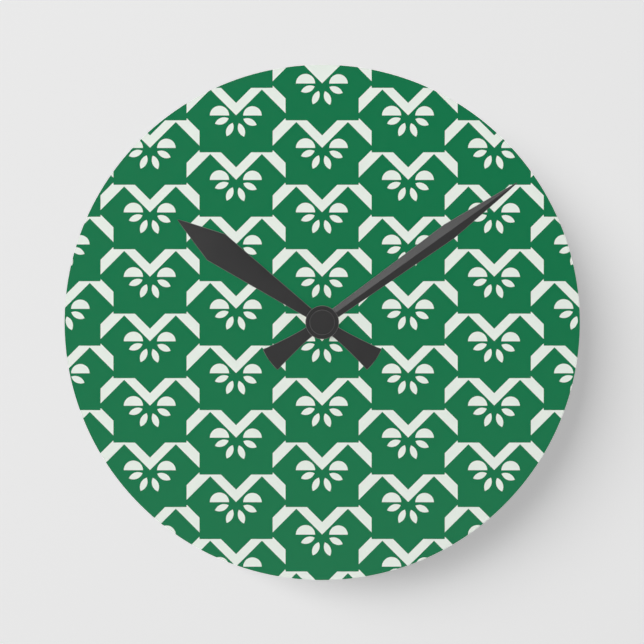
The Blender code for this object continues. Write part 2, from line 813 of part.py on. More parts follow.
def make_rear_case():
    case = prism(
        "movement_rear_case",
        rounded_square(CASE_HALF, CASE_CORNER),
        0.0,
        CASE_PARTING,
        case_plastic(),
    )
    pocket = rounded_square(INNER_HALF, CASE_CORNER - CASE_WALL)
    cut(case, prism("pocket", pocket, REAR_WALL, CASE_PARTING + 1.0, case_plastic()))
    inside = CASE_DEPTH - CASE_WALL - SEAT_GAP
    wall_z = (BAY_Z[1], BAY_Z[1] + BAY_WALL)
    fuse(case, block("bay_wall", BAY_WALL_X, wall_z, (REAR_WALL / 2.0, inside), case_plastic()))
    for at in (HAND_AXIS, FIFTH_AT, THIRD_AT, ROTOR_AT):
        fuse(case, post(1.3, REAR_WALL / 2.0, BOSS_FRONT, at))
        cut(case, drill(PIVOT_RADIUS + RUNNING_GAP, PIVOT_REAR - 0.3, BOSS_FRONT + 1.0, at, 12))
    for tongue in tongues():
        fuse(case, tongue)
    cut(case, block("bay", BAY_X, BAY_Z, (-1.0, REAR_WALL + 1.0), case_plastic()))
    cut(case, drill(KNOB_OPENING_RADIUS, -1.0, REAR_WALL + 1.0, MOTION_AT, 48))


def tongues():
    """Three snap tongues inside the walls of the front case.

    Each has a foot that reaches under its wall and a blade that stands up beside it.
    """
    outer = INNER_HALF - SEAT_GAP
    inner = outer - TONGUE_THICKNESS
    foot = (REAR_WALL + 0.8, CASE_PARTING - 0.3)
    blade = (REAR_WALL + 0.8, CASE_PARTING + 4.0)
    made = []
    for reach, depths in ((INNER_HALF + CASE_WALL / 2.0, foot), (outer, blade)):
        for side in ((inner, reach), (-reach, -inner)):
            made.append(block("tongue", side, (-2.0, 6.0), depths, case_plastic()))
        made.append(block("tongue", (-5.0, 5.0), (inner, reach), depths, case_plastic()))
    return made


def make_middle_plate():
    plate = block("middle_plate", PLATE_X, PLATE_Z, MIDDLE_PLATE, natural_plastic())
    for at in PEGS:
        peg = rod("peg", PEG_RADIUS, STATOR[0] - 0.4, MIDDLE_PLATE[0] + 0.5, 16, steel(), at)
        fuse(plate, peg)
    holes = [
        (MINUTE_PIVOT_RADIUS + RUNNING_GAP, HAND_AXIS),
        (ARBOR_RADIUS + RUNNING_GAP, THIRD_AT),
        (PIVOT_RADIUS + RUNNING_GAP, FIFTH_AT),
        (PIVOT_RADIUS + RUNNING_GAP, ROTOR_AT),
        (STEM_RADIUS + RUNNING_GAP, MOTION_AT),
    ]
    holes += [(PIN_RADIUS + SEAT_GAP, at) for at in PILLARS]
    for radius, at in holes:
        cut(plate, drill(radius, MIDDLE_PLATE[0] - 1.0, MIDDLE_PLATE[1] + 1.0, at, 16))


# ---------------------------------------------------------------- hand work


def make_minute_shaft():
    """The minute shaft with its cannon pinion, and flats at the front for the hand."""
    rear = MIDDLE_PLATE[0] + 0.1
    profile = [
        (MINUTE_SHAFT_BORE, MINUTE_SHAFT_FRONT),
        (MINUTE_SEAT_RADIUS, MINUTE_SHAFT_FRONT),
        (MINUTE_SEAT_RADIUS, MINUTE_SHOULDER),
        (MINUTE_SHAFT_RADIUS, MINUTE_SHOULDER),
        (MINUTE_SHAFT_RADIUS, CENTRE_SHOULDER),
        (MINUTE_PIVOT_RADIUS, CENTRE_SHOULDER),
        (MINUTE_PIVOT_RADIUS, rear),
        (MINUTE_SHAFT_BORE, rear),
    ]
    shaft = turned("minute_shaft", profile, 32, steel())
    pinion = toothed("cannon", CANNON_TEETH, CANNON_MODULE, 0.0, CANNON, steel())
    cut(pinion, drill(MINUTE_SHAFT_RADIUS - 0.3, CANNON[0] - 1.0, CANNON[1] + 1.0))
    fuse(shaft, pinion)
    side = MINUTE_SEAT_RADIUS + 1.0
    depths = (MINUTE_SHOULDER, MINUTE_SHAFT_FRONT + 1.0)
    for x_range in ((-side, -MINUTE_FLATS), (MINUTE_FLATS, side)):
        cut(shaft, block("flat", x_range, (-side, side), depths, steel()))


def make_clutch_spring():
    bore = MINUTE_PIVOT_RADIUS + RUNNING_GAP
    rear, front = CLUTCH
    profile = [
        (bore, rear + CLUTCH_THICKNESS),
        (CLUTCH_RADIUS, front + CLUTCH_THICKNESS),
        (CLUTCH_RADIUS, front),
        (bore, rear),
    ]
    turned("clutch_spring", profile, 24, steel())


def make_centre_wheel():
    wheel = toothed(
        "centre_wheel", CENTRE_TEETH, THIRD_MODULE, CENTRE_PHASE, CENTRE_WHEEL, natural_plastic()
    )
    bore = MINUTE_PIVOT_RADIUS + RUNNING_GAP
    cut(wheel, drill(bore, CENTRE_WHEEL[0] - 1.0, CENTRE_WHEEL[1] + 1.0, HAND_AXIS, 24))


def make_hour_wheel():
    wheel = toothed(
        "hour_wheel", HOUR_TEETH, MOTION_MODULE, HOUR_PHASE, HOUR_WHEEL, natural_plastic()
    )
    middle = sum(HOUR_WHEEL) / 2.0
    tube = rod("tube", HOUR_TUBE_RADIUS, middle, HOUR_TUBE_FRONT, 32, natural_plastic())
    fuse(wheel, tube)
    cut(wheel, drill(HOUR_TUBE_BORE, HOUR_WHEEL[0] - 1.0, HOUR_TUBE_FRONT + 1.0))


def make_motion_work():
    wheel = toothed(
        "motion_wheel",
        MOTION_TEETH,
        CANNON_MODULE,
        MOTION_PHASE,
        MOTION_WHEEL,
        natural_plastic(),
        MOTION_AT,
    )
    pinion = toothed(
        "pinion",
        MOTION_PINION_TEETH,
        MOTION_MODULE,
        0.0,
        MOTION_PINION,
        natural_plastic(),
        MOTION_AT,
    )
    fuse(wheel, pinion)
    bore = STEM_RADIUS + PRESS_GAP
    cut(wheel, drill(bore, MOTION_WHEEL[0] - 1.0, MOTION_PINION[1] + 1.0, MOTION_AT, 16))
    stem_rear = KNOB[0] + 0.9
    rod("setting_stem", STEM_RADIUS, stem_rear, STEM_FRONT, 16, steel(), MOTION_AT)
    flutes = 24
    points = []
    for step in range(4 * flutes):
        angle = math.tau * step / (4 * flutes)
        radius = KNOB_RADIUS + 0.18 * math.cos(flutes * angle)
        points.append((radius * math.cos(angle), radius * math.sin(angle)))
    knob = prism("setting_knob", points, KNOB[0], KNOB[1], case_plastic(), MOTION_AT, 50.0)
    middle = sum(KNOB) / 2.0
    fuse(knob, post(2.0 * STEM_RADIUS + 0.2, middle, KNOB_HUB_FRONT, MOTION_AT))
    cut(knob, drill(bore, stem_rear - 0.2, KNOB_HUB_FRONT + 1.0, MOTION_AT, 16))
    slot_x = (MOTION_AT[0] - 3.2, MOTION_AT[0] + 3.2)
    slot_z = (MOTION_AT[1] - 0.6, MOTION_AT[1] + 0.6)
    cut(knob, block("slot", slot_x, slot_z, (-1.0, KNOB[0] + 0.4), case_plastic()))


# ---------------------------------------------------------------- train


def make_second_wheel():
    wheel = toothed(
        "second_wheel", SECOND_TEETH, FIFTH_MODULE, SECOND_PHASE, SECOND_WHEEL, natural_plastic()
    )
    pinion = toothed(
        "pinion", SECOND_PINION_TEETH, SECOND_MODULE, 0.0, SECOND_PINION, natural_plastic()
    )
    fuse(wheel, pinion)
    bore = SECOND_ARBOR_RADIUS + PRESS_GAP
    cut(wheel, drill(bore, SECOND_WHEEL[0] - 1.0, SECOND_PINION[1] + 1.0, HAND_AXIS, 12))
    shoulder = BOSS_FRONT + SEAT_GAP
    profile = [
        (0.0, MINUTE_SHAFT_FRONT),
        (SECOND_ARBOR_RADIUS, MINUTE_SHAFT_FRONT),
        (SECOND_ARBOR_RADIUS, shoulder),
        (PIVOT_RADIUS, shoulder),
        (PIVOT_RADIUS, PIVOT_REAR),
        (0.0, PIVOT_REAR),
    ]
    turned("second_arbor", profile, 12, steel())


def make_third_wheel():
    wheel = toothed(
        "third_wheel",
        THIRD_TEETH,
        SECOND_MODULE,
        THIRD_PHASE,
        THIRD_WHEEL,
        natural_plastic(),
        THIRD_AT,
    )
    pinion = toothed(
        "pinion",
        THIRD_PINION_TEETH,
        THIRD_MODULE,
        0.0,
        THIRD_PINION,
        natural_plastic(),
        THIRD_AT,
    )
    middle = sum(THIRD_PINION) / 2.0
    shoulder = BOSS_FRONT + SEAT_GAP
    profile = [
        (0.0, middle),
        (ARBOR_RADIUS, middle),
        (ARBOR_RADIUS, shoulder),
        (PIVOT_RADIUS, shoulder),
        (PIVOT_RADIUS, PIVOT_REAR),
        (0.0, PIVOT_REAR),
    ]
    fuse(wheel, turned("arbor", profile, 16, natural_plastic(), THIRD_AT), pinion)


def make_fifth_wheel():
    wheel = toothed(
        "fifth_wheel",
        FIFTH_TEETH,
        ROTOR_MODULE,
        FIFTH_PHASE,
        FIFTH_WHEEL,
        natural_plastic(),
        FIFTH_AT,
    )
    pinion = toothed(
        "pinion",
        FIFTH_PINION_TEETH,
        FIFTH_MODULE,
        0.0,
        FIFTH_PINION,
        natural_plastic(),
        FIFTH_AT,
    )
    arbor = pivoted_arbor("arbor", PIVOT_REAR, PIVOT_FRONT, natural_plastic(), FIFTH_AT)
    fuse(wheel, pinion, arbor)


def make_rotor():
    pinion = toothed(
        "rotor_pinion", ROTOR_TEETH, ROTOR_MODULE, 0.0, ROTOR_PINION, natural_plastic(), ROTOR_AT
    )
    shoulder_rear = BOSS_FRONT + 0.2
    shoulder_front = MIDDLE_PLATE[0] - 0.2
    profile = [
        (0.0, PIVOT_FRONT),
        (PIVOT_RADIUS, PIVOT_FRONT),
        (PIVOT_RADIUS, shoulder_front),
        (ROTOR_ARBOR_RADIUS, shoulder_front),
        (ROTOR_ARBOR_RADIUS, shoulder_rear),
        (PIVOT_RADIUS, shoulder_rear),
        (PIVOT_RADIUS, PIVOT_REAR),
        (0.0, PIVOT_REAR),
    ]
    fuse(pinion, turned("arbor", profile, 16, natural_plastic(), ROTOR_AT))
    bore = ROTOR_ARBOR_RADIUS + PRESS_GAP
    rear, front = MAGNET
    profile = [(bore, front), (MAGNET_RADIUS, front), (MAGNET_RADIUS, rear), (bore, rear)]
    turned("rotor_magnet", profile, 24, magnet_grey(), ROTOR_AT)


# ---------------------------------------------------------------- motor and electrics


def make_stator():
    stator = block("stator", (-13.0, 13.0), (12.0, 16.0), STATOR, lamination_steel())
    fuse(stator, rod("lobe", 4.0, STATOR[0], STATOR[1], 40, lamination_steel(), ROTOR_AT))
    for x_range in ((-13.0, -9.2), (9.2, 13.0)):
        fuse(stator, block("leg", x_range, (13.0, 23.0), STATOR, lamination_steel()))
    rear, front = STATOR[0] - 1.0, STATOR[1] + 1.0
    cut(stator, drill(MAGNET_RADIUS + 0.4, rear, front, ROTOR_AT, 40))
    for at in PEGS:
        cut(stator, drill(PEG_RADIUS + SEAT_GAP, rear, front, at, 16))


def coil_block(name, half, surface):
    """A rectangular piece centred on the coil, from its half sizes along X, Z and depth."""
    return block(
        name,
        (-half[0], half[0]),
        (COIL_Z - half[1], COIL_Z + half[1]),
        (COIL_DEPTH - half[2], COIL_DEPTH + half[2]),
        surface,
    )


def grown(half, amount):
    """Half sizes across the core grown by an amount; the length along X stays."""
    return half[0], half[1] + amount, half[2] + amount


def make_coil():
    coil_block("coil_core", CORE_HALF, lamination_steel())
    inner = grown(CORE_HALF, SEAT_GAP)
    outer = grown(inner, BOBBIN_WALL)
    bobbin = coil_block(
        "coil_bobbin", (BOBBIN_HALF_LENGTH, outer[1], outer[2]), natural_plastic()
    )
    flange_z = (COIL_Z - BOBBIN_FLANGE_HALF, COIL_Z + BOBBIN_FLANGE_HALF)
    flange_depths = (COIL_DEPTH - BOBBIN_FLANGE_HALF, COIL_DEPTH + BOBBIN_FLANGE_HALF)
    inside = BOBBIN_HALF_LENGTH - BOBBIN_FLANGE
    for x_range in ((-BOBBIN_HALF_LENGTH, -inside), (inside, BOBBIN_HALF_LENGTH)):
        fuse(bobbin, block("flange", x_range, flange_z, flange_depths, natural_plastic()))
    cut(bobbin, coil_block("core_hole", inner, steel()))
    outline = circle(COIL_RADIUS, 32, (COIL_DEPTH, COIL_Z))
    reach = inside - SEAT_GAP
    winding = side_prism("coil_winding", outline, -reach, reach, copper())
    cut(winding, coil_block("bobbin_hole", grown(outer, SEAT_GAP), steel()))


def make_circuit():
    block("circuit_board", BOARD_X, BOARD_Z, BOARD, board_green())
    front = BOARD[0] - SEAT_GAP
    dome = ((0.0, 1.1), (1.3, 0.95), (2.2, 0.5), (2.4, 0.0), (0.0, 0.0))
    profile = [(radius, front - height) for radius, height in dome]
    turned("timing_chip", profile, 24, chip_epoxy(), CHIP_AT)
    profile = [
        (0.0, CRYSTAL_LENGTH),
        (CRYSTAL_RADIUS - 0.3, CRYSTAL_LENGTH),
        (CRYSTAL_RADIUS, CRYSTAL_LENGTH - 0.3),
        (CRYSTAL_RADIUS, 0.0),
        (0.0, 0.0),
    ]
    can = turned("quartz_crystal", profile, 24, steel())
    can.rotation_euler.x = math.radians(-90.0)
    depth = front - CRYSTAL_RADIUS
    can.location = (CRYSTAL_AT[0] * MM, -depth * MM, CRYSTAL_AT[1] * MM)


def make_contacts():
    run_end = 12.0
    line = [
        (CONTACT_X, -24.6),
        (CONTACT_X, CONTACT_RUN_Z),
        (-18.8, CONTACT_RUN_Z),
        (-18.8, run_end),
    ]
    outline = ribbon(line, CONTACT_THICKNESS)
    prism("positive_contact", outline, CONTACT_DEPTHS[0], CONTACT_DEPTHS[1], steel())
    bow = CONTACT_X - 1.0
    line = [
        (-CONTACT_X, -24.6),
        (-bow - 0.2, -20.5),
        (-bow, CELL_Z),
        (-bow - 0.2, -15.5),
        (-CONTACT_X, -12.0),
        (-CONTACT_X, CONTACT_RUN_Z),
        (-22.0, CONTACT_RUN_Z),
        (-22.0, run_end - 2.0),
    ]
    outline = ribbon(line, CONTACT_THICKNESS)
    prism("negative_contact", outline, CONTACT_DEPTHS[0], CONTACT_DEPTHS[1], steel())


def make_cell():
    nub_root = CELL_NUB_END - CELL_NUB_HEIGHT
    flat_end = CELL_NUB_END - CELL_LENGTH
    profile = [
        (0.0, CELL_NUB_END),
        (CELL_NUB_RADIUS - 0.3, CELL_NUB_END),
        (CELL_NUB_RADIUS, CELL_NUB_END - 0.3),
        (CELL_NUB_RADIUS, nub_root),
        (CELL_RADIUS - 0.6, nub_root),
        (CELL_RADIUS, nub_root - 0.6),
        (CELL_RADIUS, flat_end + 0.5),
        (CELL_RADIUS - 0.5, flat_end),
        (0.0, flat_end),
    ]
    cell = turned("battery_cell", profile, 32, cell_wrap())
    cell.rotation_euler.z = math.radians(90.0)
    cell.location = (0.0, -CELL_DEPTH * MM, CELL_Z * MM)


# ---------------------------------------------------------------- main


def clear_scene():
    for made in list(bpy.data.objects):
        bpy.data.objects.remove(made)


def main():
    clear_scene()
    make_dial_disc()
    make_dial_print()
    make_hour_hand()
    make_minute_hand()
    make_collets()
    make_cap_nut()
    make_bushing()
    make_clamping_rings()
    make_hex_nut()
    make_hanger()
    make_front_case()
    make_rear_case()
    make_middle_plate()
    make_minute_shaft()
    make_clutch_spring()
    make_centre_wheel()
    make_hour_wheel()
    make_motion_work()
    make_second_wheel()
    make_third_wheel()
    make_fifth_wheel()
    make_rotor()
    make_stator()
    make_coil()
    make_circuit()
    make_contacts()
    make_cell()


main()
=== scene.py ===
"""Looks of the round acrylic wall clock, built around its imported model.

+Z is up and the dial faces -Y. Sizes are in metres, except where a comment or a name ending in
MM says millimetres. A depth is the distance in front of the wall, which is the plane y = 0.
"""

import json
import math

import bmesh
import bpy
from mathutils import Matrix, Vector
from mathutils.geometry import delaunay_2d_cdt


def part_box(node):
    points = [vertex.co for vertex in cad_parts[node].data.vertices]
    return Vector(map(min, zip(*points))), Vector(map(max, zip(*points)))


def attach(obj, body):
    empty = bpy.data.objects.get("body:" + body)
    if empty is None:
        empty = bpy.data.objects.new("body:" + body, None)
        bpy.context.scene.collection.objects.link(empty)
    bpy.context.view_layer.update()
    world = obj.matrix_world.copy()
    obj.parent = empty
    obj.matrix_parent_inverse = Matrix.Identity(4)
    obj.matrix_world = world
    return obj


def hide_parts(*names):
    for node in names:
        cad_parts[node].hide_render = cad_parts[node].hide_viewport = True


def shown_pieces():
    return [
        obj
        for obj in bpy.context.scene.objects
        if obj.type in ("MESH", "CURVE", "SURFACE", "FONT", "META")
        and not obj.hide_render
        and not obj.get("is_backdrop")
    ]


MM = 0.001

# camera
LENS_MM = 300.0
SENSOR_MM = 36.0
FIELD_WIDTH = 0.2539
CAMERA_OFFSET = (-0.00008, 0.00016)

# printed pattern, in millimetres on the dial, x to the right and z up from the hand axis
COLUMN_SPACING = 33.93
ROW_SPACING = 25.41
ODD_COLUMN_LIFT = 12.805
FIRST_MOTIF = (-0.03, -7.32)
HALF_DISC_AT = ((6.46, -0.14), (-6.55, -0.12))
HALF_DISC_RADII = (3.66, 3.8)
FAN_CENTRE = (0.0, -0.2)
FAN_TURN = 1.85
LEAF_MIDDLE = 6.02
LEAF_LENGTH = 5.74
LEAF_WIDTH = 2.58
LEAF_ANGLES = (22.5, 67.5)
# right half of the band, from the point of the V along its lower edge and back
BAND_HALF = (
    (0.0, -0.06),
    (10.18, 10.1),
    (19.5, 0.78),
    (19.5, 6.6),
    (14.5, 11.6),
    (14.35, 10.75),
    (5.95, 10.75),
)
# bottom of the V's upper edge; a V whose notch comes nearer the rim than this is filled
BAND_NOTCH = (0.0, 4.8)
NOTCH_MARGIN = 2.5

# hands, in millimetres
TAIL_END = 25.5
TAIL_HALF = 4.84
TAIL_ROOT = 2.0
TAIL_CORNER = 0.5
HAND_BEVEL = 0.17
HAND_THICKNESS = 0.5
# hub radius, hub thickness and radius of the hole for the collet
HOUR_HUB = (6.05, 0.7, 3.1)
MINUTE_HUB = (6.42, 0.9, 2.65)
# corners of a blade as (along, half width, height of the crest), and the sections up to each
HOUR_BLADE = (((6.5, 1.84, 0.05), 1), ((51.1, 6.1, 0.3), 10), ((69.7, 0.12, 0.02), 6))
MINUTE_BLADE = (((6.5, 1.9, 0.35), 1), ((61.6, 3.2, 0.6), 10), ((94.1, 0.12, 0.02), 8))
CAP_BEVEL = 0.22
CAP_BORE = (1.75, 2.0)

# edges that turn less than this, in degrees, look round; a cut piece may have bevels already
ROUND_BELOW = 35.0
ROUND_BELOW_CUT = 50.0

# dial stack, in millimetres
STACK_BORE = 4.3
FILM_GAP = 0.02
EDGE_ROUNDING = 0.45
GASKET_BULGE = 0.25

# markings and openings of the case, in millimetres
BAY_TOP = -10.4
GROOVE_DEPTH = 0.45
ARROW_RADII = (6.5, 7.1)
ARROW_SWEEP = 118.0
ARROW_HEAD = (20.0, 0.9)
SIGN_ARM = (1.4, 0.32)
SIGN_X = 22.5
SIGN_DROP = 2.4
PIN_MARKS = ((-22.5, 22.5), (23.8, 23.8), (12.0, 2.0), (-22.5, -2.5))
PIN_MARK_RADIUS = 1.5
PANEL_X = (-4.0, 20.0)
PANEL_Z = (12.5, 21.5)
WINDOW_DEPTH = (7.2, 8.8)
WINDOW_REACH = (24.0, 30.0)
SIDE_WINDOW_Z = (-0.5, 4.5)
TOP_WINDOW_X = (-2.5, 2.5)

# hanger tab, in millimetres: (z, radius) of the nail slot's ends, the upper with its half angle
TAB_DEPTH = (1.5, 4.5)
TAB_CORNER = 5.2
NAIL_ENTRY = (34.6, 3.25)
NAIL_SEAT = (38.05, 2.2, 41.4)

# cell, in millimetres
CAN_RADIUS = 6.2
POLE_RADIUS = 2.8
POLE_HEIGHT = 1.1
POLE_ROUNDING = 0.35
SLEEVE_INSIDE = 6.6
SLEEVE_ROUNDING = (0.75, 0.6)

# colours, linear
INK_GREEN = (0.0040, 0.1656, 0.0619)
INK_WHITE = (0.775, 0.832, 0.768)
HAND_COLOUR = (0.0110, 0.0104, 0.0107)
# lighter greys for the bevels of the hands and the cap nut: painted highlights along their edges
HAND_BEVEL_HIGHLIGHT_COLOUR = (0.130, 0.128, 0.125)
CAP_BEVEL_HIGHLIGHT_COLOUR = (0.074, 0.071, 0.072)

# stage
FLOOR_Z = -0.165
WALL_SIZE = 3.0
FLOOR_SIZE = 8.0
SHADOW_RADIUS_MM = 93.5
SHADOW_DEPTH_MM = (20.0, 21.0)

# lamps: azimuth, angle from the dial's axis, distance, size and power
WALL_LAMP = (150.0, 52.0, 6.0, (4.0, 3.0), 283.0)
KEY_LAMP = (135.0, 32.0, 2.5, (1.25, 1.25), 38.0)
FILL_AZIMUTHS = (0.0, 90.0, 180.0, 270.0)
FILL_LAMP = (62.0, 1.9, (1.5, 1.5), 11.4)
REAR_POWERS = ((20.0, 11.5), (160.0, 22.0), (270.0, 7.0))
REAR_LAMP = (140.0, 1.6, (2.0, 2.0))

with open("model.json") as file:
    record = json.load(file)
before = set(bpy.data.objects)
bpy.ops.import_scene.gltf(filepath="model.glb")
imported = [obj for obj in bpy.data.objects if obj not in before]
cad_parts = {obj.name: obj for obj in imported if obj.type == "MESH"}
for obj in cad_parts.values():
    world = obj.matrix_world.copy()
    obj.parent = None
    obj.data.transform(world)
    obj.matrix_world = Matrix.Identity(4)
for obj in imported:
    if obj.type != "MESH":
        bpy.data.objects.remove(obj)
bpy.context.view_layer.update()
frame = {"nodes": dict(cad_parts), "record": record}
NODES = frame["nodes"]
BODY_OF = {
    node: body
    for body, members in frame["record"]["behaviour"]["bodies"].items()
    for node in members
}


# ---------------------------------------------------------------- node helpers


class Nodes:
    """A short way to write a material's node tree."""

    def __init__(self, name):
        self.made = bpy.data.materials.new(name)
        self.made.use_nodes = True
        self.tree = self.made.node_tree
        self.tree.nodes.clear()
        self.output = self.add("ShaderNodeOutputMaterial")

    def add(self, kind, **values):
        node = self.tree.nodes.new(kind)
        for key, value in values.items():
            setattr(node, key, value)
        return node

    def link(self, source, target):
        self.tree.links.new(source, target)

    def feed(self, target, value):
        """Sets a socket to a number or a colour, or links another socket to it."""
        if isinstance(value, bpy.types.NodeSocket):
            self.link(value, target)
        elif isinstance(value, (tuple, list)) and len(value) == 3 and target.type == "RGBA":
            target.default_value = (*value, 1.0)
        else:
            target.default_value = value

    def position(self):
        """Points of the object's own mesh, so that a pattern moves with its piece."""
        return self.add("ShaderNodeTexCoord").outputs["Object"]

    def noise(self, scale, detail=3.0, roughness=0.5, vector=None):
        node = self.add("ShaderNodeTexNoise")
        node.inputs["Scale"].default_value = scale
        node.inputs["Detail"].default_value = detail
        node.inputs["Roughness"].default_value = roughness
        self.link(vector or self.position(), node.inputs["Vector"])
        return node.outputs["Fac"]

    def stretched(self, scale_x, scale_y, scale_z):
        node = self.add("ShaderNodeMapping")
        node.inputs["Scale"].default_value = (scale_x, scale_y, scale_z)
        self.link(self.position(), node.inputs["Vector"])
        return node.outputs["Vector"]

    def maths(self, operation, first, second=0.0):
        node = self.add("ShaderNodeMath", operation=operation)
        self.feed(node.inputs[0], first)
        self.feed(node.inputs[1], second)
        return node.outputs[0]

    def ranged(self, value, low, high, from_low=0.0, from_high=1.0):
        node = self.add("ShaderNodeMapRange")
        self.feed(node.inputs["Value"], value)
        node.inputs["From Min"].default_value = from_low
        node.inputs["From Max"].default_value = from_high
        node.inputs["To Min"].default_value = low
        node.inputs["To Max"].default_value = high
        return node.outputs["Result"]

    def mixed(self, share, first, second):
        node = self.add("ShaderNodeMix", data_type="RGBA")
        self.feed(node.inputs["Factor"], share)
        self.feed(node.inputs[6], first)
        self.feed(node.inputs[7], second)
        return node.outputs[2]

    def bump(self, height, distance, strength=1.0):
        node = self.add("ShaderNodeBump")
        node.inputs["Distance"].default_value = distance
        node.inputs["Strength"].default_value = strength
        self.link(height, node.inputs["Height"])
        return node.outputs["Normal"]

    def principled(self, **inputs):
        node = self.add("ShaderNodeBsdfPrincipled")
        for key, value in inputs.items():
            self.feed(node.inputs[key.replace("_", " ")], value)
        return node.outputs["BSDF"]

    def shade(self, shader):
        self.link(shader, self.output.inputs["Surface"])
        return self.made


def scaled(colour, factor):
    return tuple(channel * factor for channel in colour)


def axis_distance(n):
    """Distance from the hand axis in the plane of the dial."""
    parts = n.add("ShaderNodeSeparateXYZ")
    n.link(n.position(), parts.inputs[0])
    squares = [n.maths("MULTIPLY", parts.outputs[i], parts.outputs[i]) for i in (0, 2)]
    return n.maths("SQRT", n.maths("ADD", *squares))


# ---------------------------------------------------------------- materials


def ink(name, colour, roughness):
    """Printing ink on the film: even colour with a faint mottle and a fine grain."""
    n = Nodes(name)
    mottle = n.ranged(n.noise(140.0, 3.0), -0.5, 0.5)
    grain = n.ranged(n.noise(5200.0, 1.0), -0.5, 0.5)
    share = n.ranged(n.maths("ADD", mottle, n.maths("MULTIPLY", grain, 0.8)), 0.0, 1.0, -0.6, 0.6)
    tint = n.mixed(share, scaled(colour, 0.965), scaled(colour, 1.035))
    shine = n.ranged(n.noise(420.0, 2.0), roughness - 0.03, roughness + 0.03)
    normal = n.bump(n.noise(900.0, 2.0), 0.000004)
    return n.shade(
        n.principled(
            Base_Color=tint, Roughness=shine, Normal=normal, Specular_IOR_Level=0.35
        )
    )


def clear_acrylic():
    """Clear cast acrylic that lets light through to what lies behind it."""
    n = Nodes("acrylic_clear")
    haze = n.ranged(n.noise(260.0, 2.0), 0.015, 0.04)
    glass = n.principled(
        Base_Color=(0.965, 0.985, 0.975), Roughness=haze, IOR=1.49, Transmission_Weight=1.0
    )
    return n.shade(lit_through(n, glass, (0.95, 0.98, 0.96)))


def acrylic_edge_painted_highlight():
    """The polished cut edge, coloured paler than the faces as a painted highlight for the light it
    gathers.
    """
    n = Nodes("acrylic_edge_painted_highlight")
    saw = n.noise(700.0, 2.0, vector=n.stretched(1.0, 12.0, 1.0))
    # the pale tint is a painted highlight; the saw noise adds real saw marks to it
    tint = n.mixed(saw, (0.66, 0.86, 0.74), (0.78, 0.93, 0.84))
    body = n.principled(
        Base_Color=tint,
        Roughness=n.ranged(saw, 0.16, 0.3),
        IOR=1.49,
        Transmission_Weight=0.25,
        Normal=n.bump(saw, 0.00001),
    )
    return n.shade(lit_through(n, body, (0.8, 0.9, 0.85), 0.5))


def lit_through(n, shader, tint, share=1.0):
    """Lets lamps and bounced light pass the piece, which camera rays see as shader."""
    path = n.add("ShaderNodeLightPath")
    passes = n.maths("MAXIMUM", path.outputs["Is Shadow Ray"], path.outputs["Is Diffuse Ray"])
    clear = n.add("ShaderNodeBsdfTransparent")
    clear.inputs["Color"].default_value = (*tint, 1.0)
    mix = n.add("ShaderNodeMixShader")
    n.link(n.maths("MULTIPLY", passes, share), mix.inputs[0])
    n.link(shader, mix.inputs[1])
    n.link(clear.outputs[0], mix.inputs[2])
    return mix.outputs[0]


def hand_enamel(name, colour, roughness):
    """Satin black enamel on stamped metal, with a faint orange peel."""
    n = Nodes(name)
    peel = n.noise(1500.0, 2.0)
    cloud = n.noise(90.0, 3.0)
    return n.shade(
        n.principled(
            Base_Color=n.mixed(cloud, scaled(colour, 0.9), scaled(colour, 1.12)),
            Roughness=n.ranged(cloud, roughness - 0.04, roughness + 0.04),
            Specular_IOR_Level=0.42,
            Normal=n.bump(peel, 0.000012),
        )
    )


def moulded_plastic(name, colour, grain, roughness, coat=0.0):
    """Injection-moulded plastic with the fine texture of an eroded mould."""
    n = Nodes(name)
    pits = n.noise(grain, 4.0, 0.6)
    flow = n.noise(45.0, 3.0)
    tint = n.mixed(flow, scaled(colour, 0.88), scaled(colour, 1.14))
    return n.shade(
        n.principled(
            Base_Color=tint,
            Roughness=n.ranged(pits, roughness - 0.07, roughness + 0.09),
            Coat_Weight=coat,
            Normal=n.bump(pits, 0.00003, 0.7),
        )
    )


def acetal():
    """Natural white acetal: waxy, slightly translucent."""
    n = Nodes("natural_acetal")
    flow = n.noise(300.0, 3.0)
    return n.shade(
        n.principled(
            Base_Color=n.mixed(flow, (0.78, 0.76, 0.69), (0.86, 0.84, 0.78)),
            Roughness=n.ranged(flow, 0.32, 0.42),
            Subsurface_Weight=0.25,
            Subsurface_Scale=0.001,
            Normal=n.bump(n.noise(2500.0), 0.000008),
        )
    )


def rubber():
    n = Nodes("black_rubber")
    dust = n.noise(1800.0, 4.0, 0.65)
    return n.shade(
        n.principled(
            Base_Color=n.mixed(dust, (0.016, 0.016, 0.017), (0.045, 0.044, 0.043)),
            Roughness=n.ranged(dust, 0.72, 0.9),
            Normal=n.bump(dust, 0.00004, 0.8),
        )
    )


def turned_metal(name, colour, roughness):
    """Metal turned on a lathe: fine rings about the hand axis and slight tarnish."""
    n = Nodes(name)
    rings = n.noise(1.0, 2.0, vector=ring_vector(n, 16000.0))
    tarnish = n.noise(350.0, 3.0)
    return n.shade(
        n.principled(
            Base_Color=n.mixed(tarnish, scaled(colour, 0.84), colour),
            Metallic=1.0,
            Roughness=n.ranged(rings, roughness - 0.08, roughness + 0.12),
            Normal=n.bump(rings, 0.000006),
        )
    )


def ring_vector(n, scale):
    """Coordinates that change only with distance from the hand axis and along it."""
    parts = n.add("ShaderNodeSeparateXYZ")
    n.link(n.position(), parts.inputs[0])
    joined = n.add("ShaderNodeCombineXYZ")
    n.link(n.maths("MULTIPLY", axis_distance(n), scale), joined.inputs[0])
    n.link(n.maths("MULTIPLY", parts.outputs[1], scale), joined.inputs[1])
    return joined.outputs[0]


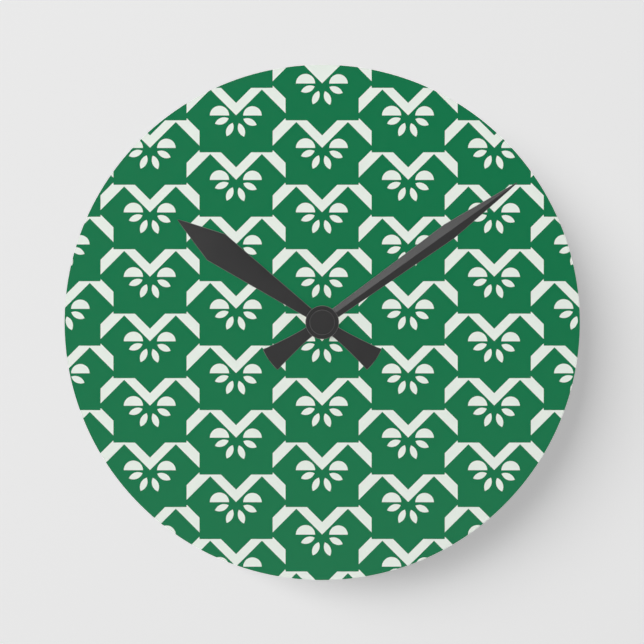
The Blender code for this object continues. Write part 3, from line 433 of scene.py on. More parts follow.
def rolled_metal(name, colour, roughness, stretch):
    """Rolled or drawn metal, with fine lines across the stretched direction and blotches."""
    n = Nodes(name)
    lines = n.noise(3200.0, 3.0, 0.6, n.stretched(*stretch))
    blotch = n.noise(130.0, 4.0, 0.6)
    return n.shade(
        n.principled(
            Base_Color=n.mixed(blotch, scaled(colour, 0.82), colour),
            Metallic=1.0,
            Roughness=n.ranged(n.maths("ADD", lines, blotch), roughness, roughness + 0.22, 0.4, 1.6),
            Normal=n.bump(lines, 0.000008),
        )
    )


def magnet_material():
    n = Nodes("sintered_magnet")
    grain = n.noise(4000.0, 4.0, 0.7)
    return n.shade(
        n.principled(
            Base_Color=n.mixed(grain, (0.05, 0.05, 0.052), (0.13, 0.13, 0.135)),
            Metallic=0.6,
            Roughness=n.ranged(grain, 0.4, 0.6),
            Normal=n.bump(grain, 0.00001),
        )
    )


def enamelled_wire():
    n = Nodes("enamelled_wire")
    blotch = n.noise(900.0, 3.0)
    return n.shade(
        n.principled(
            Base_Color=n.mixed(blotch, (0.52, 0.17, 0.06), (0.75, 0.30, 0.12)),
            Metallic=0.85,
            Roughness=n.ranged(blotch, 0.22, 0.34),
            Coat_Weight=0.6,
        )
    )


def solder_mask():
    """Green solder mask over copper tracks that run along the board."""
    n = Nodes("solder_mask")
    tracks = n.add("ShaderNodeTexBrick")
    tracks.inputs["Scale"].default_value = 260.0
    tracks.inputs["Mortar Size"].default_value = 0.05
    swapped = n.add("ShaderNodeMapping")
    swapped.inputs["Rotation"].default_value = (math.radians(90.0), 0.0, 0.0)
    n.link(n.position(), swapped.inputs["Vector"])
    n.link(swapped.outputs["Vector"], tracks.inputs["Vector"])
    share = tracks.outputs["Fac"]
    return n.shade(
        n.principled(
            Base_Color=n.mixed(share, (0.02, 0.16, 0.055), (0.06, 0.27, 0.09)),
            Roughness=n.ranged(n.noise(1200.0), 0.25, 0.4),
            Coat_Weight=0.4,
            Normal=n.bump(share, 0.00002),
        )
    )


def chip_resin():
    n = Nodes("chip_resin")
    grain = n.noise(2600.0, 3.0)
    return n.shade(
        n.principled(
            Base_Color=n.mixed(grain, (0.010, 0.010, 0.011), (0.026, 0.025, 0.025)),
            Roughness=n.ranged(grain, 0.22, 0.36),
            Normal=n.bump(grain, 0.000012),
        )
    )


def cell_sleeve():
    """Shrink sleeve of the cell: slate with a pale band at the positive end, no lettering."""
    n = Nodes("cell_sleeve")
    parts = n.add("ShaderNodeSeparateXYZ")
    n.link(n.position(), parts.inputs[0])
    along = parts.outputs[0]
    band = n.maths("GREATER_THAN", along, 0.0105)
    line = n.maths("LESS_THAN", n.maths("ABSOLUTE", n.maths("SUBTRACT", along, 0.0078)), 0.0006)
    paint = n.mixed(n.maths("MAXIMUM", band, line), (0.055, 0.075, 0.105), (0.62, 0.63, 0.62))
    scuff = n.noise(220.0, 4.0, 0.6)
    return n.shade(
        n.principled(
            Base_Color=n.mixed(n.ranged(scuff, 0.0, 0.12), paint, (0.35, 0.36, 0.38)),
            Roughness=n.ranged(scuff, 0.2, 0.36),
            Coat_Weight=0.5,
            Coat_Roughness=0.12,
            Normal=n.bump(n.noise(500.0, 2.0), 0.00001),
        )
    )


def film_back(name, colour):
    """The bare rear of the film, with the print showing through faintly."""
    n = Nodes(name)
    fibre = n.noise(1500.0, 4.0, 0.6)
    return n.shade(
        n.principled(
            Base_Color=n.mixed(fibre, scaled(colour, 0.95), colour),
            Roughness=0.6,
            Normal=n.bump(fibre, 0.000006),
        )
    )


# ---------------------------------------------------------------- mesh helpers


def new_piece(name, bm, body, materials, round_below=ROUND_BELOW):
    """Turns a mesh made in millimetres into a piece that rides on a body."""
    bmesh.ops.scale(bm, vec=(MM, MM, MM), verts=bm.verts)
    return ready_piece(name, bm, body, materials, round_below)


def mark_edges(bm, round_below):
    """Edges that turn less than the limit, in degrees, look round; all others look sharp."""
    limit = math.radians(round_below)
    for face in bm.faces:
        face.smooth = True
    for edge in bm.edges:
        edge.smooth = edge.calc_face_angle(math.pi) < limit


def ready_piece(name, bm, body, materials, round_below=ROUND_BELOW):
    bmesh.ops.recalc_face_normals(bm, faces=bm.faces)
    mark_edges(bm, round_below)
    mesh = bpy.data.meshes.new(name)
    bm.to_mesh(mesh)
    bm.free()
    for surface in materials:
        mesh.materials.append(surface)
    made = bpy.data.objects.new(name, mesh)
    bpy.context.scene.collection.objects.link(made)
    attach(made, body)
    return made


def turned_mesh(profile, segments, centre=(0.0, 0.0)):
    """A closed mesh turned about an axis along Y, from (radius, depth) pairs in millimetres."""
    bm = bmesh.new()
    rings = []
    for radius, depth in profile:
        if radius <= 0.0:
            rings.append([bm.verts.new((centre[0], -depth, centre[1]))])
            continue
        ring = []
        for step in range(segments):
            angle = math.tau * step / segments
            x = centre[0] + radius * math.cos(angle)
            ring.append(bm.verts.new((x, -depth, centre[1] + radius * math.sin(angle))))
        rings.append(ring)
    pairs = list(zip(rings, rings[1:]))
    if profile[0][0] > 0.0:
        pairs.append((rings[-1], rings[0]))
    for first, second in pairs:
        for step in range(segments):
            after = (step + 1) % segments
            corners = [first[step % len(first)], first[after % len(first)]]
            corners += [second[after % len(second)], second[step % len(second)]]
            unique = list(dict.fromkeys(corners))
            bm.faces.new(unique)
    return bm


def on_circle(centre, radius, angle):
    """The point at an angle in degrees on a circle."""
    turn = math.radians(angle)
    return (centre[0] + radius * math.cos(turn), centre[1] + radius * math.sin(turn))


def arc(centre, radius, start, end, steps):
    """Points evenly spaced along an arc, from one angle to another in degrees."""
    span = end - start
    return [on_circle(centre, radius, start + span * step / steps) for step in range(steps + 1)]


def bare_object(name, bm, materials):
    """A mesh object that is not a piece, for use in a boolean."""
    mesh = bpy.data.meshes.new(name)
    bm.to_mesh(mesh)
    bm.free()
    for surface in materials:
        mesh.materials.append(surface)
    made = bpy.data.objects.new(name, mesh)
    bpy.context.scene.collection.objects.link(made)
    return made


def changed(piece, steps):
    """The evaluated mesh of an object after each (operation, tool mesh) in turn."""
    tools = []
    for operation, tool in steps:
        change = piece.modifiers.new(operation, "BOOLEAN")
        change.operation = operation
        change.object = bare_object("tool", tool, piece.data.materials)
        tools.append(change.object)
    result = bmesh.new()
    result.from_object(piece, bpy.context.evaluated_depsgraph_get())
    for tool in tools:
        bpy.data.meshes.remove(tool.data)
    piece.modifiers.clear()
    return result


def shaped(base, steps, materials):
    """The mesh that is left when each (operation, mesh) in turn has changed the base mesh."""
    holder = bare_object("base", base, materials)
    result = changed(holder, steps)
    bpy.data.meshes.remove(holder.data)
    bmesh.ops.remove_doubles(result, verts=result.verts, dist=0.0001)
    return result


def cut_away(piece, tool):
    """Cuts closed shells, given in millimetres, out of a finished piece."""
    bmesh.ops.recalc_face_normals(tool, faces=tool.faces)
    bmesh.ops.scale(tool, vec=(MM, MM, MM), verts=tool.verts)
    bm = changed(piece, [("DIFFERENCE", tool)])
    drop_normals(bm)
    mark_edges(bm, ROUND_BELOW_CUT)
    bm.to_mesh(piece.data)
    bm.free()


def drop_normals(bm):
    """Removes the stored normals and sharp marks, so that they are worked out again."""
    for name in ("custom_normal", "sharp_edge", "sharp_face"):
        for layers in (bm.loops.layers, bm.edges.layers, bm.faces.layers):
            for kind in ("float_vector", "bool", "int"):
                found = getattr(layers, kind).get(name)
                if found is not None:
                    getattr(layers, kind).remove(found)


def add_prism(bm, outline, rear, front):
    """Adds a closed prism with an outline of (x, z) points between two depths."""
    count = len(outline)
    lows = [bm.verts.new((x, -rear, z)) for x, z in outline]
    highs = [bm.verts.new((x, -front, z)) for x, z in outline]
    bm.faces.new(lows)
    bm.faces.new(highs[::-1])
    for i in range(count):
        j = (i + 1) % count
        bm.faces.new((lows[j], lows[i], highs[i], highs[j]))


def prisms(outlines, depth_range):
    """One mesh of closed prisms between two depths."""
    bm = bmesh.new()
    for outline in outlines:
        add_prism(bm, outline, *depth_range)
    return bm


def rectangle(x, z):
    """Outline between two x values and two z values."""
    return [(x[0], z[0]), (x[1], z[0]), (x[1], z[1]), (x[0], z[1])]


def depths(node):
    """(rear, front) depth of a CAD node in millimetres."""
    low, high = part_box(node)
    return -high.y / MM, -low.y / MM


def refined(node, surface):
    """A copy of a CAD node with merged vertices and smooth rounds."""
    bm = bmesh.new()
    bm.from_mesh(NODES[node].data)
    drop_normals(bm)
    bmesh.ops.remove_doubles(bm, verts=bm.verts, dist=0.000001)
    bmesh.ops.dissolve_limit(
        bm, angle_limit=math.radians(0.6), verts=bm.verts, edges=bm.edges
    )
    made = ready_piece(node + "_finished", bm, BODY_OF[node], [surface])
    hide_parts(node)
    return made


def soften(piece, bevel):
    """Rounds the sharp edges of a piece by a width in millimetres."""
    edges = piece.modifiers.new("edges", "BEVEL")
    edges.width = bevel * MM
    edges.segments = 2
    edges.limit_method = "ANGLE"
    edges.angle_limit = math.radians(40.0)
    edges.use_clamp_overlap = True
    edges.harden_normals = True


def level_normals(piece):
    """Makes large flat faces look flat after a cut."""
    level = piece.modifiers.new("level", "WEIGHTED_NORMAL")
    level.keep_sharp = True


# ---------------------------------------------------------------- dial


def leaf(direction):
    """Outline of one leaf: two arcs that meet in points, aimed away from the fan's centre."""
    sagitta = LEAF_WIDTH / 2.0
    radius = (LEAF_LENGTH * LEAF_LENGTH / 4.0 + sagitta * sagitta) / (2.0 * sagitta)
    sweep = math.degrees(math.asin(LEAF_LENGTH / 2.0 / radius))
    upper = arc((LEAF_MIDDLE, sagitta - radius), radius, 90.0 + sweep, 90.0 - sweep, 8)
    lower = arc((LEAF_MIDDLE, radius - sagitta), radius, 270.0 + sweep, 270.0 - sweep, 8)
    cosine, sine = math.cos(direction), math.sin(direction)
    points = []
    for along, across in upper + lower[1:-1]:
        x = FAN_CENTRE[0] + along * cosine - across * sine
        z = FAN_CENTRE[1] + along * sine + across * cosine
        points.append((x, z))
    return points


def motif(notched):
    """Outlines of the white shapes around one V of the pattern."""
    right = list(BAND_HALF)
    left = [(-x, z) for x, z in reversed(right[1:])]
    notch = [BAND_NOTCH] if notched else []
    shapes = [right + notch + left]
    for middle, radius in zip(HALF_DISC_AT, HALF_DISC_RADII):
        shapes.append(arc(middle, radius, 0.0, 180.0, 18))
    for angle in LEAF_ANGLES:
        for direction in (-angle, angle - 180.0):
            shapes.append(leaf(math.radians(direction - FAN_TURN)))
    return shapes


def pattern_outlines(radius):
    """White outlines of every motif that touches the printed disc."""
    reach = radius + COLUMN_SPACING
    columns = int(reach / COLUMN_SPACING) + 1
    rows = int(reach / ROW_SPACING) + 1
    outlines = []
    for column in range(-columns, columns + 1):
        lift = ODD_COLUMN_LIFT if column % 2 else 0.0
        for row in range(-rows, rows + 1):
            x = FIRST_MOTIF[0] + column * COLUMN_SPACING
            z = FIRST_MOTIF[1] + lift + row * ROW_SPACING
            notched = z + BAND_NOTCH[1] < radius - NOTCH_MARGIN
            for outline in motif(notched):
                placed = [(x + a, z + b) for a, b in outline]
                if min(math.hypot(a, b) for a, b in placed) < radius:
                    outlines.append(placed)
    return outlines


def counter_clockwise(outline):
    following = outline[1:] + outline[:1]
    doubled_area = sum(a[0] * b[1] - b[0] * a[1] for a, b in zip(outline, following))
    return outline if doubled_area > 0.0 else outline[::-1]


def printed_areas(radius, bore):
    """Splits the printed disc into faces, and says which of them are white.

    The first two input faces are the disc and its bore; the others are the white shapes.
    """
    rings = [arc((0.0, 0.0), size, 0.0, 360.0, 256)[:-1] for size in (radius, bore)]
    shapes = rings + pattern_outlines(radius)
    points, faces = [], []
    for shape in shapes:
        faces.append(list(range(len(points), len(points) + len(shape))))
        points.extend(Vector(point) for point in counter_clockwise(shape))
    found = delaunay_2d_cdt(points, [], faces, 1, 0.00001)
    areas = []
    for corners, origins in zip(found[2], found[5]):
        if 0 in origins and 1 not in origins:
            areas.append((corners, any(origin > 1 for origin in origins)))
    return [tuple(point) for point in found[0]], areas


def make_print():
    """The printed film, flush with the disc: a closed sheet whose front carries the two inks."""
    rear, front = depths("dial_print")
    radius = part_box("dial_disc")[1].x / MM - FILM_GAP
    points, areas = printed_areas(radius, STACK_BORE)
    bm = bmesh.new()
    fronts = [bm.verts.new((x, -front, z)) for x, z in points]
    rears = [bm.verts.new((x, -rear, z)) for x, z in points]
    edge_faces = {}
    for corners, white in areas:
        face = bm.faces.new([fronts[i] for i in corners])
        face.material_index = 1 if white else 0
        back = bm.faces.new([rears[i] for i in reversed(corners)])
        back.material_index = 3 if white else 2
        for first, second in zip(corners, corners[1:] + corners[:1]):
            key = (min(first, second), max(first, second))
            edge_faces.setdefault(key, []).append((first, second))
    for uses in edge_faces.values():
        if len(uses) == 1:
            first, second = uses[0]
            side = bm.faces.new((fronts[second], fronts[first], rears[first], rears[second]))
            side.material_index = 3
    loose = [vert for vert in bm.verts if not vert.link_faces]
    bmesh.ops.delete(bm, geom=loose, context="VERTS")
    film = new_piece(
        "printed_film",
        bm,
        "movement",
        [
            ink("ink_green", INK_GREEN, 0.22),
            ink("ink_white", INK_WHITE, 0.26),
            film_back("film_rear_inked", (0.64, 0.68, 0.65)),
            film_back("film_rear", (0.74, 0.745, 0.73)),
        ],
    )
    film.visible_diffuse = False
    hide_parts("dial_print")


def make_disc():
    """The acrylic disc, with clear faces and a polished edge coloured paler as a painted highlight.
    """
    rear = depths("dial_disc")[0]
    front = depths("dial_print")[0] - FILM_GAP
    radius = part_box("dial_disc")[1].x / MM
    corner = radius - EDGE_ROUNDING
    clear_to = corner - 0.15
    profile = [(STACK_BORE, front), (clear_to, front)]
    profile += arc((corner, front - EDGE_ROUNDING), EDGE_ROUNDING, 90.0, 0.0, 5)
    profile += arc((corner, rear + EDGE_ROUNDING), EDGE_ROUNDING, 0.0, -90.0, 5)
    profile += [(clear_to, rear), (STACK_BORE, rear)]
    bm = turned_mesh(profile, 256)
    # faces out past clear_to take the pale edge material, a painted highlight
    for face in bm.faces:
        middle = face.calc_center_median()
        if math.hypot(middle.x, middle.z) > clear_to:
            face.material_index = 1
    disc = new_piece("acrylic_disc", bm, "movement", [clear_acrylic(), acrylic_edge_painted_highlight()])
    disc.visible_diffuse = False
    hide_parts("dial_disc")


# ---------------------------------------------------------------- hands


def tail_sections(hub_radius):
    """(place along the hand, half width, crest) from the round end of the tail to the hub."""
    corner_angle = math.asin(TAIL_HALF / TAIL_END)
    sections = []
    for share in (0.06, 0.2, 0.4, 0.6, 0.8, 0.93):
        angle = corner_angle * share
        sections.append((-TAIL_END * math.cos(angle), TAIL_END * math.sin(angle), 0.0))
    end = TAIL_END * math.cos(corner_angle)
    sections.append((-end - 0.02, TAIL_HALF - 0.1, 0.0))
    sections.append((-end + TAIL_CORNER, TAIL_HALF - 0.06, 0.0))
    steps = 14
    for step in range(1, steps + 1):
        along = end - TAIL_CORNER + (hub_radius - end + TAIL_CORNER) * step / steps
        share = max((along - hub_radius) / (end - hub_radius), 0.0)
        half = TAIL_ROOT + (TAIL_HALF - 0.04 - TAIL_ROOT) * share**1.35
        sections.append((-along, half, 0.0))
    sections.append((0.0, TAIL_ROOT, 0.0))
    return sections


def outward(sections, index):
    """Unit direction (along, across) that points out of the right edge at one section."""
    before = sections[max(index - 1, 0)]
    after = sections[min(index + 1, len(sections) - 1)]
    along, across = after[0] - before[0], after[1] - before[1]
    length = math.hypot(along, across)
    return -across / length, along / length


def hand_mesh(sections, rear, front, turn):
    """A stamped hand with bevelled front edges, turned clockwise from 12 o'clock."""
    bm = bmesh.new()
    cosine, sine = math.cos(turn), math.sin(turn)
    loops = []
    for index, (along, half, crest) in enumerate(sections):
        bevel = HAND_BEVEL * min(half / HAND_BEVEL / 4.0, 1.0)
        out_along, out_across = outward(sections, index)
        edge_along = along + bevel * out_along
        edge_half = half + bevel * max(out_across, 0.0)
        corners = [
            (edge_along, -edge_half, rear),
            (edge_along, -edge_half, front - bevel),
            (along, -half, front),
            (along, 0.0, front + crest),
            (along, half, front),
            (edge_along, edge_half, front - bevel),
            (edge_along, edge_half, rear),
            (edge_along, 0.0, rear),
        ]
        ring = []
        for place, x, depth in corners:
            place_x = x * cosine + place * sine
            place_z = place * cosine - x * sine
            ring.append(bm.verts.new((place_x, -depth, place_z)))
        loops.append(ring)
    for first, second in zip(loops, loops[1:]):
        count = len(first)
        for i in range(count):
            j = (i + 1) % count
            bm.faces.new((first[i], first[j], second[j], second[i]))
    bm.faces.new(loops[0])
    bm.faces.new(loops[-1])
    return bm


def hand_angle(node):
    """Direction of a hand's tip, clockwise from 12 o'clock, from the CAD node."""
    tip = max((v.co for v in NODES[node].data.vertices), key=lambda co: math.hypot(co.x, co.z))
    return math.atan2(tip.x, tip.z)


def straight(start, end, steps):
    """Sections evenly spaced from just after start to end."""
    return [
        tuple(a + (b - a) * step / steps for a, b in zip(start, end))
        for step in range(1, steps + 1)
    ]


def mark_bevels(bm):
    """Gives the narrow sloping faces the second material: a lighter grey, painted as a highlight
    along the edges.
    """
    for face in bm.faces:
        face.normal_update()
        if 0.45 < abs(face.normal.y) < 0.9:
            face.material_index = 1


def make_hand(node, hub_size, blade, enamels):
    """A stamped hand: plate and hub in one, with a hole for the collet."""
    rear = depths(node)[0]
    front = rear + HAND_THICKNESS
    hub_radius, hub_thickness, hole = hub_size
    sections = tail_sections(hub_radius)
    corner = sections[-1]
    for target, steps in blade:
        sections.extend(straight(corner, target, steps))
        corner = target
    plate = hand_mesh(sections, rear, front, hand_angle(node))
    hub_front = rear + hub_thickness
    hub = turned_mesh(
        [
            (0.0, hub_front),
            (hub_radius, hub_front),
            (hub_radius + HAND_BEVEL, hub_front - HAND_BEVEL),
            (hub_radius + HAND_BEVEL, rear),
            (0.0, rear),
        ],
        128,
    )
    drill = turned_mesh(
        [(0.0, hub_front + 1.0), (hole, hub_front + 1.0), (hole, rear - 1.0), (0.0, rear - 1.0)], 64
    )
    for bm in (plate, hub, drill):
        bmesh.ops.recalc_face_normals(bm, faces=bm.faces)
    mark_bevels(plate)
    mark_bevels(hub)
    bm = shaped(plate, (("UNION", hub), ("DIFFERENCE", drill)), enamels)
    hand = new_piece(node + "_finished", bm, BODY_OF[node], enamels, 9.0)
    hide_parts(node)
    return hand


def make_cap(enamels):
    """The closed hand nut: flat front, narrow bevel, straight side."""
    rear, front = depths("cap_nut")
    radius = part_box("cap_nut")[1].x / MM
    bore, bore_depth = CAP_BORE
    profile = [(0.0, front), (radius - CAP_BEVEL, front), (radius, front - CAP_BEVEL)]
    profile += [(radius, rear + 0.1), (radius - 0.1, rear)]
    profile += [(bore, rear), (bore, rear + bore_depth), (0.0, rear + bore_depth)]
    bm = turned_mesh(profile, 128)
    bmesh.ops.recalc_face_normals(bm, faces=bm.faces)
    mark_bevels(bm)
    cap = new_piece("cap_nut_finished", bm, BODY_OF["cap_nut"], enamels)
    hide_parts("cap_nut")
    return cap


def make_hands():
    face = hand_enamel("hand_enamel", HAND_COLOUR, 0.37)
    # the second enamel, a lighter grey on the bevels, is a painted highlight
    enamels = [face, hand_enamel("hand_enamel_painted_highlight", HAND_BEVEL_HIGHLIGHT_COLOUR, 0.4)]
    return [
        make_hand("hour_hand", HOUR_HUB, HOUR_BLADE, enamels),
        make_hand("minute_hand", MINUTE_HUB, MINUTE_BLADE, enamels),
        # the cap's bevel takes a lighter grey enamel: a painted highlight ring
        make_cap([face, hand_enamel("cap_enamel_painted_highlight", CAP_BEVEL_HIGHLIGHT_COLOUR, 0.3)]),
    ]


# ---------------------------------------------------------------- movement and inside


def make_gasket(surface):
    """The gasket fills the space between the hanger and the disc."""
    rear = depths("hanger")[1] + 0.05
    front = depths("dial_disc")[0] - FILM_GAP
    flat_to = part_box("rubber_gasket")[1].x / MM - GASKET_BULGE
    profile = [(STACK_BORE, front), (flat_to, front)]
    profile += arc((flat_to, (rear + front) / 2.0), (front - rear) / 2.0, 70.0, -70.0, 6)
    profile += [(flat_to, rear), (STACK_BORE, rear)]
    gasket = new_piece("gasket_finished", turned_mesh(profile, 96), "movement", [surface])
    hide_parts("rubber_gasket")


def turning_arrow(centre, start):
    """Outline of one curved arrow around the setting knob, from an angle in degrees."""
    inner, outer = ARROW_RADII
    head, barb = ARROW_HEAD
    end = start + ARROW_SWEEP
    points = arc(centre, outer, start, end, 16)
    points.append(on_circle(centre, outer + barb, end))
    points.append(on_circle(centre, (outer + inner) / 2.0, end + head))
    points.append(on_circle(centre, inner - barb, end))
    return points + arc(centre, inner, end, start, 16)


def plus_sign(x, z):
    """Outline of a plus sign around a point."""
    arm, half = SIGN_ARM
    outline = [(arm, -half), (arm, half), (half, half)]
    turned = list(outline)
    for _ in range(3):
        turned = [(-b, a) for a, b in turned]
        outline.extend(turned)
    return [(x + a, z + b) for a, b in outline]


def rear_markings():
    """What is moulded into the rear of the case: arrows, polarity, a blank panel, pin marks."""
    low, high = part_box("setting_knob")
    knob = ((low.x + high.x) / 2.0 / MM, (low.z + high.z) / 2.0 / MM)
    arm, half = SIGN_ARM
    sign_z = BAY_TOP + SIGN_DROP
    outlines = [turning_arrow(knob, start) for start in (20.0, 200.0)]
    outlines.append(plus_sign(SIGN_X, sign_z))
    outlines.append(rectangle((-SIGN_X - arm, -SIGN_X + arm), (sign_z - half, sign_z + half)))
    outlines.append(rectangle(PANEL_X, PANEL_Z))
    outlines.extend(arc(at, PIN_MARK_RADIUS, 0.0, 360.0, 20)[:-1] for at in PIN_MARKS)
    return prisms(outlines, (-0.5, GROOVE_DEPTH))


def snap_windows():
    """Openings in three walls of the front case, through which the snap tongues show."""
    near, far = WINDOW_REACH
    outlines = (
        rectangle((near, far), SIDE_WINDOW_Z),
        rectangle((-far, -near), SIDE_WINDOW_Z),
        rectangle(TOP_WINDOW_X, (near, far)),
    )
    return prisms(outlines, WINDOW_DEPTH)


def tab_trim():
    """What a round-nosed punch takes off the hanger's tab: its two corners and the nail slot."""
    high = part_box("hanger")[1]
    side, top = high.x / MM, high.z / MM
    middle = (side - TAB_CORNER, top - TAB_CORNER)
    corner = arc(middle, TAB_CORNER, 0.0, 90.0, 12)
    corner += [(middle[0], top + 1.0), (side + 1.0, top + 1.0), (side + 1.0, middle[1])]
    entry_z, entry_radius = NAIL_ENTRY
    seat_z, seat_radius, seat_angle = NAIL_SEAT
    slot = arc((0.0, entry_z), entry_radius, 180.0, 360.0, 24)
    slot += arc((0.0, seat_z), seat_radius, seat_angle, 180.0 - seat_angle, 10)
    return prisms([corner, [(-x, z) for x, z in corner], slot], TAB_DEPTH)


def make_movement():
    black = moulded_plastic("case_abs", (0.020, 0.020, 0.022), 2600.0, 0.5)
    steel = rolled_metal("zinc_steel", (0.60, 0.61, 0.62), 0.26, (1.0, 1.0, 0.04))
    spring_steel = rolled_metal("contact_steel", (0.66, 0.65, 0.62), 0.2, (0.05, 1.0, 1.0))
    laminated = rolled_metal("lamination_steel", (0.36, 0.37, 0.40), 0.3, (0.05, 1.0, 1.0))
    brass = turned_metal("turned_brass", (0.76, 0.56, 0.24), 0.24)
    arbor_steel = turned_metal("turned_steel", (0.62, 0.62, 0.63), 0.24)
    white = acetal()
    table = (
        ("movement_front_case", black, 0.35, "case_plastic"),
        ("movement_rear_case", black, 0.2, "case_plastic"),
        ("setting_knob", black, 0.0, "case_plastic"),
        ("hanger", steel, 0.14, "steel"),
        ("hex_nut", brass, 0.2, "brass"),
        ("threaded_bushing", brass, 0.0, "brass"),
        ("dial_washer", brass, 0.08, "brass"),
        ("hour_hand_collet", brass, 0.05, "brass"),
        ("minute_hand_collet", brass, 0.05, "brass"),
        ("minute_shaft", arbor_steel, 0.0, "steel"),
        ("second_arbor", arbor_steel, 0.0, "steel"),
        ("setting_stem", arbor_steel, 0.0, "steel"),
        ("clutch_spring", spring_steel, 0.0, "steel"),
        ("positive_contact", spring_steel, 0.05, "steel"),
        ("negative_contact", spring_steel, 0.05, "steel"),
        ("quartz_crystal", arbor_steel, 0.0, "steel"),
        ("middle_plate", white, 0.12, "natural_plastic"),
        ("centre_wheel", white, 0.0, "natural_plastic"),
        ("hour_wheel", white, 0.0, "natural_plastic"),
        ("motion_wheel", white, 0.0, "natural_plastic"),
        ("second_wheel", white, 0.0, "natural_plastic"),
        ("third_wheel", white, 0.0, "natural_plastic"),
        ("fifth_wheel", white, 0.0, "natural_plastic"),
        ("rotor_pinion", white, 0.0, "natural_plastic"),
        ("coil_bobbin", white, 0.08, "natural_plastic"),
        ("rotor_magnet", magnet_material(), 0.08, "magnet"),
        ("stator", laminated, 0.05, "lamination_steel"),
        ("coil_core", laminated, 0.05, "lamination_steel"),
        ("coil_winding", enamelled_wire(), 0.0, "copper"),
        ("circuit_board", solder_mask(), 0.05, "board"),
        ("timing_chip", chip_resin(), 0.0, "chip"),
    )
    punched = {"hanger": tab_trim()}
    engraved = {
        "movement_rear_case": rear_markings(),
        "movement_front_case": snap_windows(),
    }
    for node, surface, bevel, slot in table:
        piece = refined(node, surface)
        if node in punched:
            cut_away(piece, punched[node])
        if bevel > 0.0:
            soften(piece, bevel)
        if node in engraved:
            cut_away(piece, engraved[node])
            level_normals(piece)
    make_gasket(rubber())
    make_cell(spring_steel)


def make_cell(steel):
    """The AA cell: shrink sleeve over a steel can with a raised pole."""
    low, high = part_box("battery_cell")
    centre = (low + high) / 2.0 / MM
    flat_end, nub_end = low.x / MM, high.x / MM
    radius = (high.z - low.z) / 2.0 / MM
    shoulder = nub_end - POLE_HEIGHT
    pole_corner = (POLE_RADIUS - POLE_ROUNDING, nub_end - POLE_ROUNDING)
    can = [(0.0, nub_end), (1.9, nub_end)]
    can += arc(pole_corner, POLE_ROUNDING, 90.0, 0.0, 4)
    can += [(POLE_RADIUS, shoulder + 0.05), (CAN_RADIUS - 0.3, shoulder + 0.05)]
    can += [(CAN_RADIUS, shoulder - 0.6), (CAN_RADIUS, flat_end + 0.7)]
    can += [(CAN_RADIUS - 0.6, flat_end + 0.1), (0.0, flat_end + 0.1)]
    upper, lower = SLEEVE_ROUNDING
    sleeve = [(5.6, shoulder), (5.9, shoulder + 0.02)]
    sleeve += arc((radius - upper, shoulder - 0.7), upper, 80.0, 0.0, 5)
    sleeve += arc((radius - lower, flat_end + lower), lower, 0.0, -80.0, 5)
    sleeve += [(5.7, flat_end), (5.7, flat_end + 0.3), (SLEEVE_INSIDE, flat_end + 0.9)]
    sleeve += [(SLEEVE_INSIDE, shoulder - 0.9), (5.6, shoulder - 0.3)]
    pieces = (("cell_can", can, steel), ("cell_sleeve", sleeve, cell_sleeve()))
    for name, profile, surface in pieces:
        bm = turned_mesh(profile, 96)
        for vert in bm.verts:
            x, depth, z = vert.co.x, -vert.co.y, vert.co.z
            vert.co = (depth, centre.y + x, centre.z + z)
        made = new_piece(name, bm, "cell", [surface])
        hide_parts("battery_cell")


# ---------------------------------------------------------------- stage, light and camera


def plain_surface(name, albedo, glow):
    """Matt paint that also gives off a share of its own light, for an even backdrop."""
    n = Nodes(name)
    paint = n.add("ShaderNodeBsdfDiffuse")
    soft = n.noise(6.0, 2.0)
    grey = (albedo, albedo, albedo)
    tint = n.mixed(soft, scaled(grey, 0.99), scaled(grey, 1.01))
    n.link(tint, paint.inputs["Color"])
    light = n.add("ShaderNodeEmission")
    light.inputs["Strength"].default_value = glow
    both = n.add("ShaderNodeAddShader")
    n.link(paint.outputs[0], both.inputs[0])
    n.link(light.outputs[0], both.inputs[1])
    return n, both.outputs[0]


def make_wall():
    """A wall seen only from its front, and not at a grazing angle."""
    n, painted = plain_surface("wall_paint", 0.80, 0.445)
    geometry = n.add("ShaderNodeNewGeometry")
    facing = n.add("ShaderNodeVectorMath", operation="DOT_PRODUCT")
    n.link(geometry.outputs["Incoming"], facing.inputs[0])
    facing.inputs[1].default_value = (0.0, -1.0, 0.0)
    shown = n.ranged(facing.outputs["Value"], 0.0, 1.0, 0.3, 0.4)
    clear = n.add("ShaderNodeBsdfTransparent")
    mix = n.add("ShaderNodeMixShader")
    n.link(shown, mix.inputs[0])
    n.link(clear.outputs[0], mix.inputs[1])
    n.link(painted, mix.inputs[2])
    wall = stage_plane("wall", n.shade(mix.outputs[0]), WALL_SIZE)
    wall.location = (0.0, 0.0006, FLOOR_Z + WALL_SIZE / 2.0)
    wall.rotation_euler.x = math.radians(90.0)
    wall.visible_shadow = False
    wall.visible_diffuse = False
    wall.visible_glossy = False
    return wall


def stage_plane(name, surface, side):
    mesh = bpy.data.meshes.new(name)
    h = side / 2.0
    mesh.from_pydata([(-h, -h, 0.0), (h, -h, 0.0), (h, h, 0.0), (-h, h, 0.0)], [], [(0, 1, 2, 3)])
    mesh.materials.append(surface)
    made = bpy.data.objects.new(name, mesh)
    bpy.context.scene.collection.objects.link(made)
    made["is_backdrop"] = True
    return made


def make_shadow_caster():
    """An unseen disc, smaller than the dial, that softens the rim of the shadow on the wall."""
    rear, front = SHADOW_DEPTH_MM
    radius = SHADOW_RADIUS_MM
    bm = turned_mesh([(0.0, front), (radius, front), (radius, rear), (0.0, rear)], 96)
    bmesh.ops.scale(bm, vec=(MM, MM, MM), verts=bm.verts)
    made = bare_object("shadow_caster", bm, [])
    made.visible_camera = False
    made.visible_diffuse = False
    made.visible_glossy = False
    made.visible_transmission = False
    made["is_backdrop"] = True
    return made


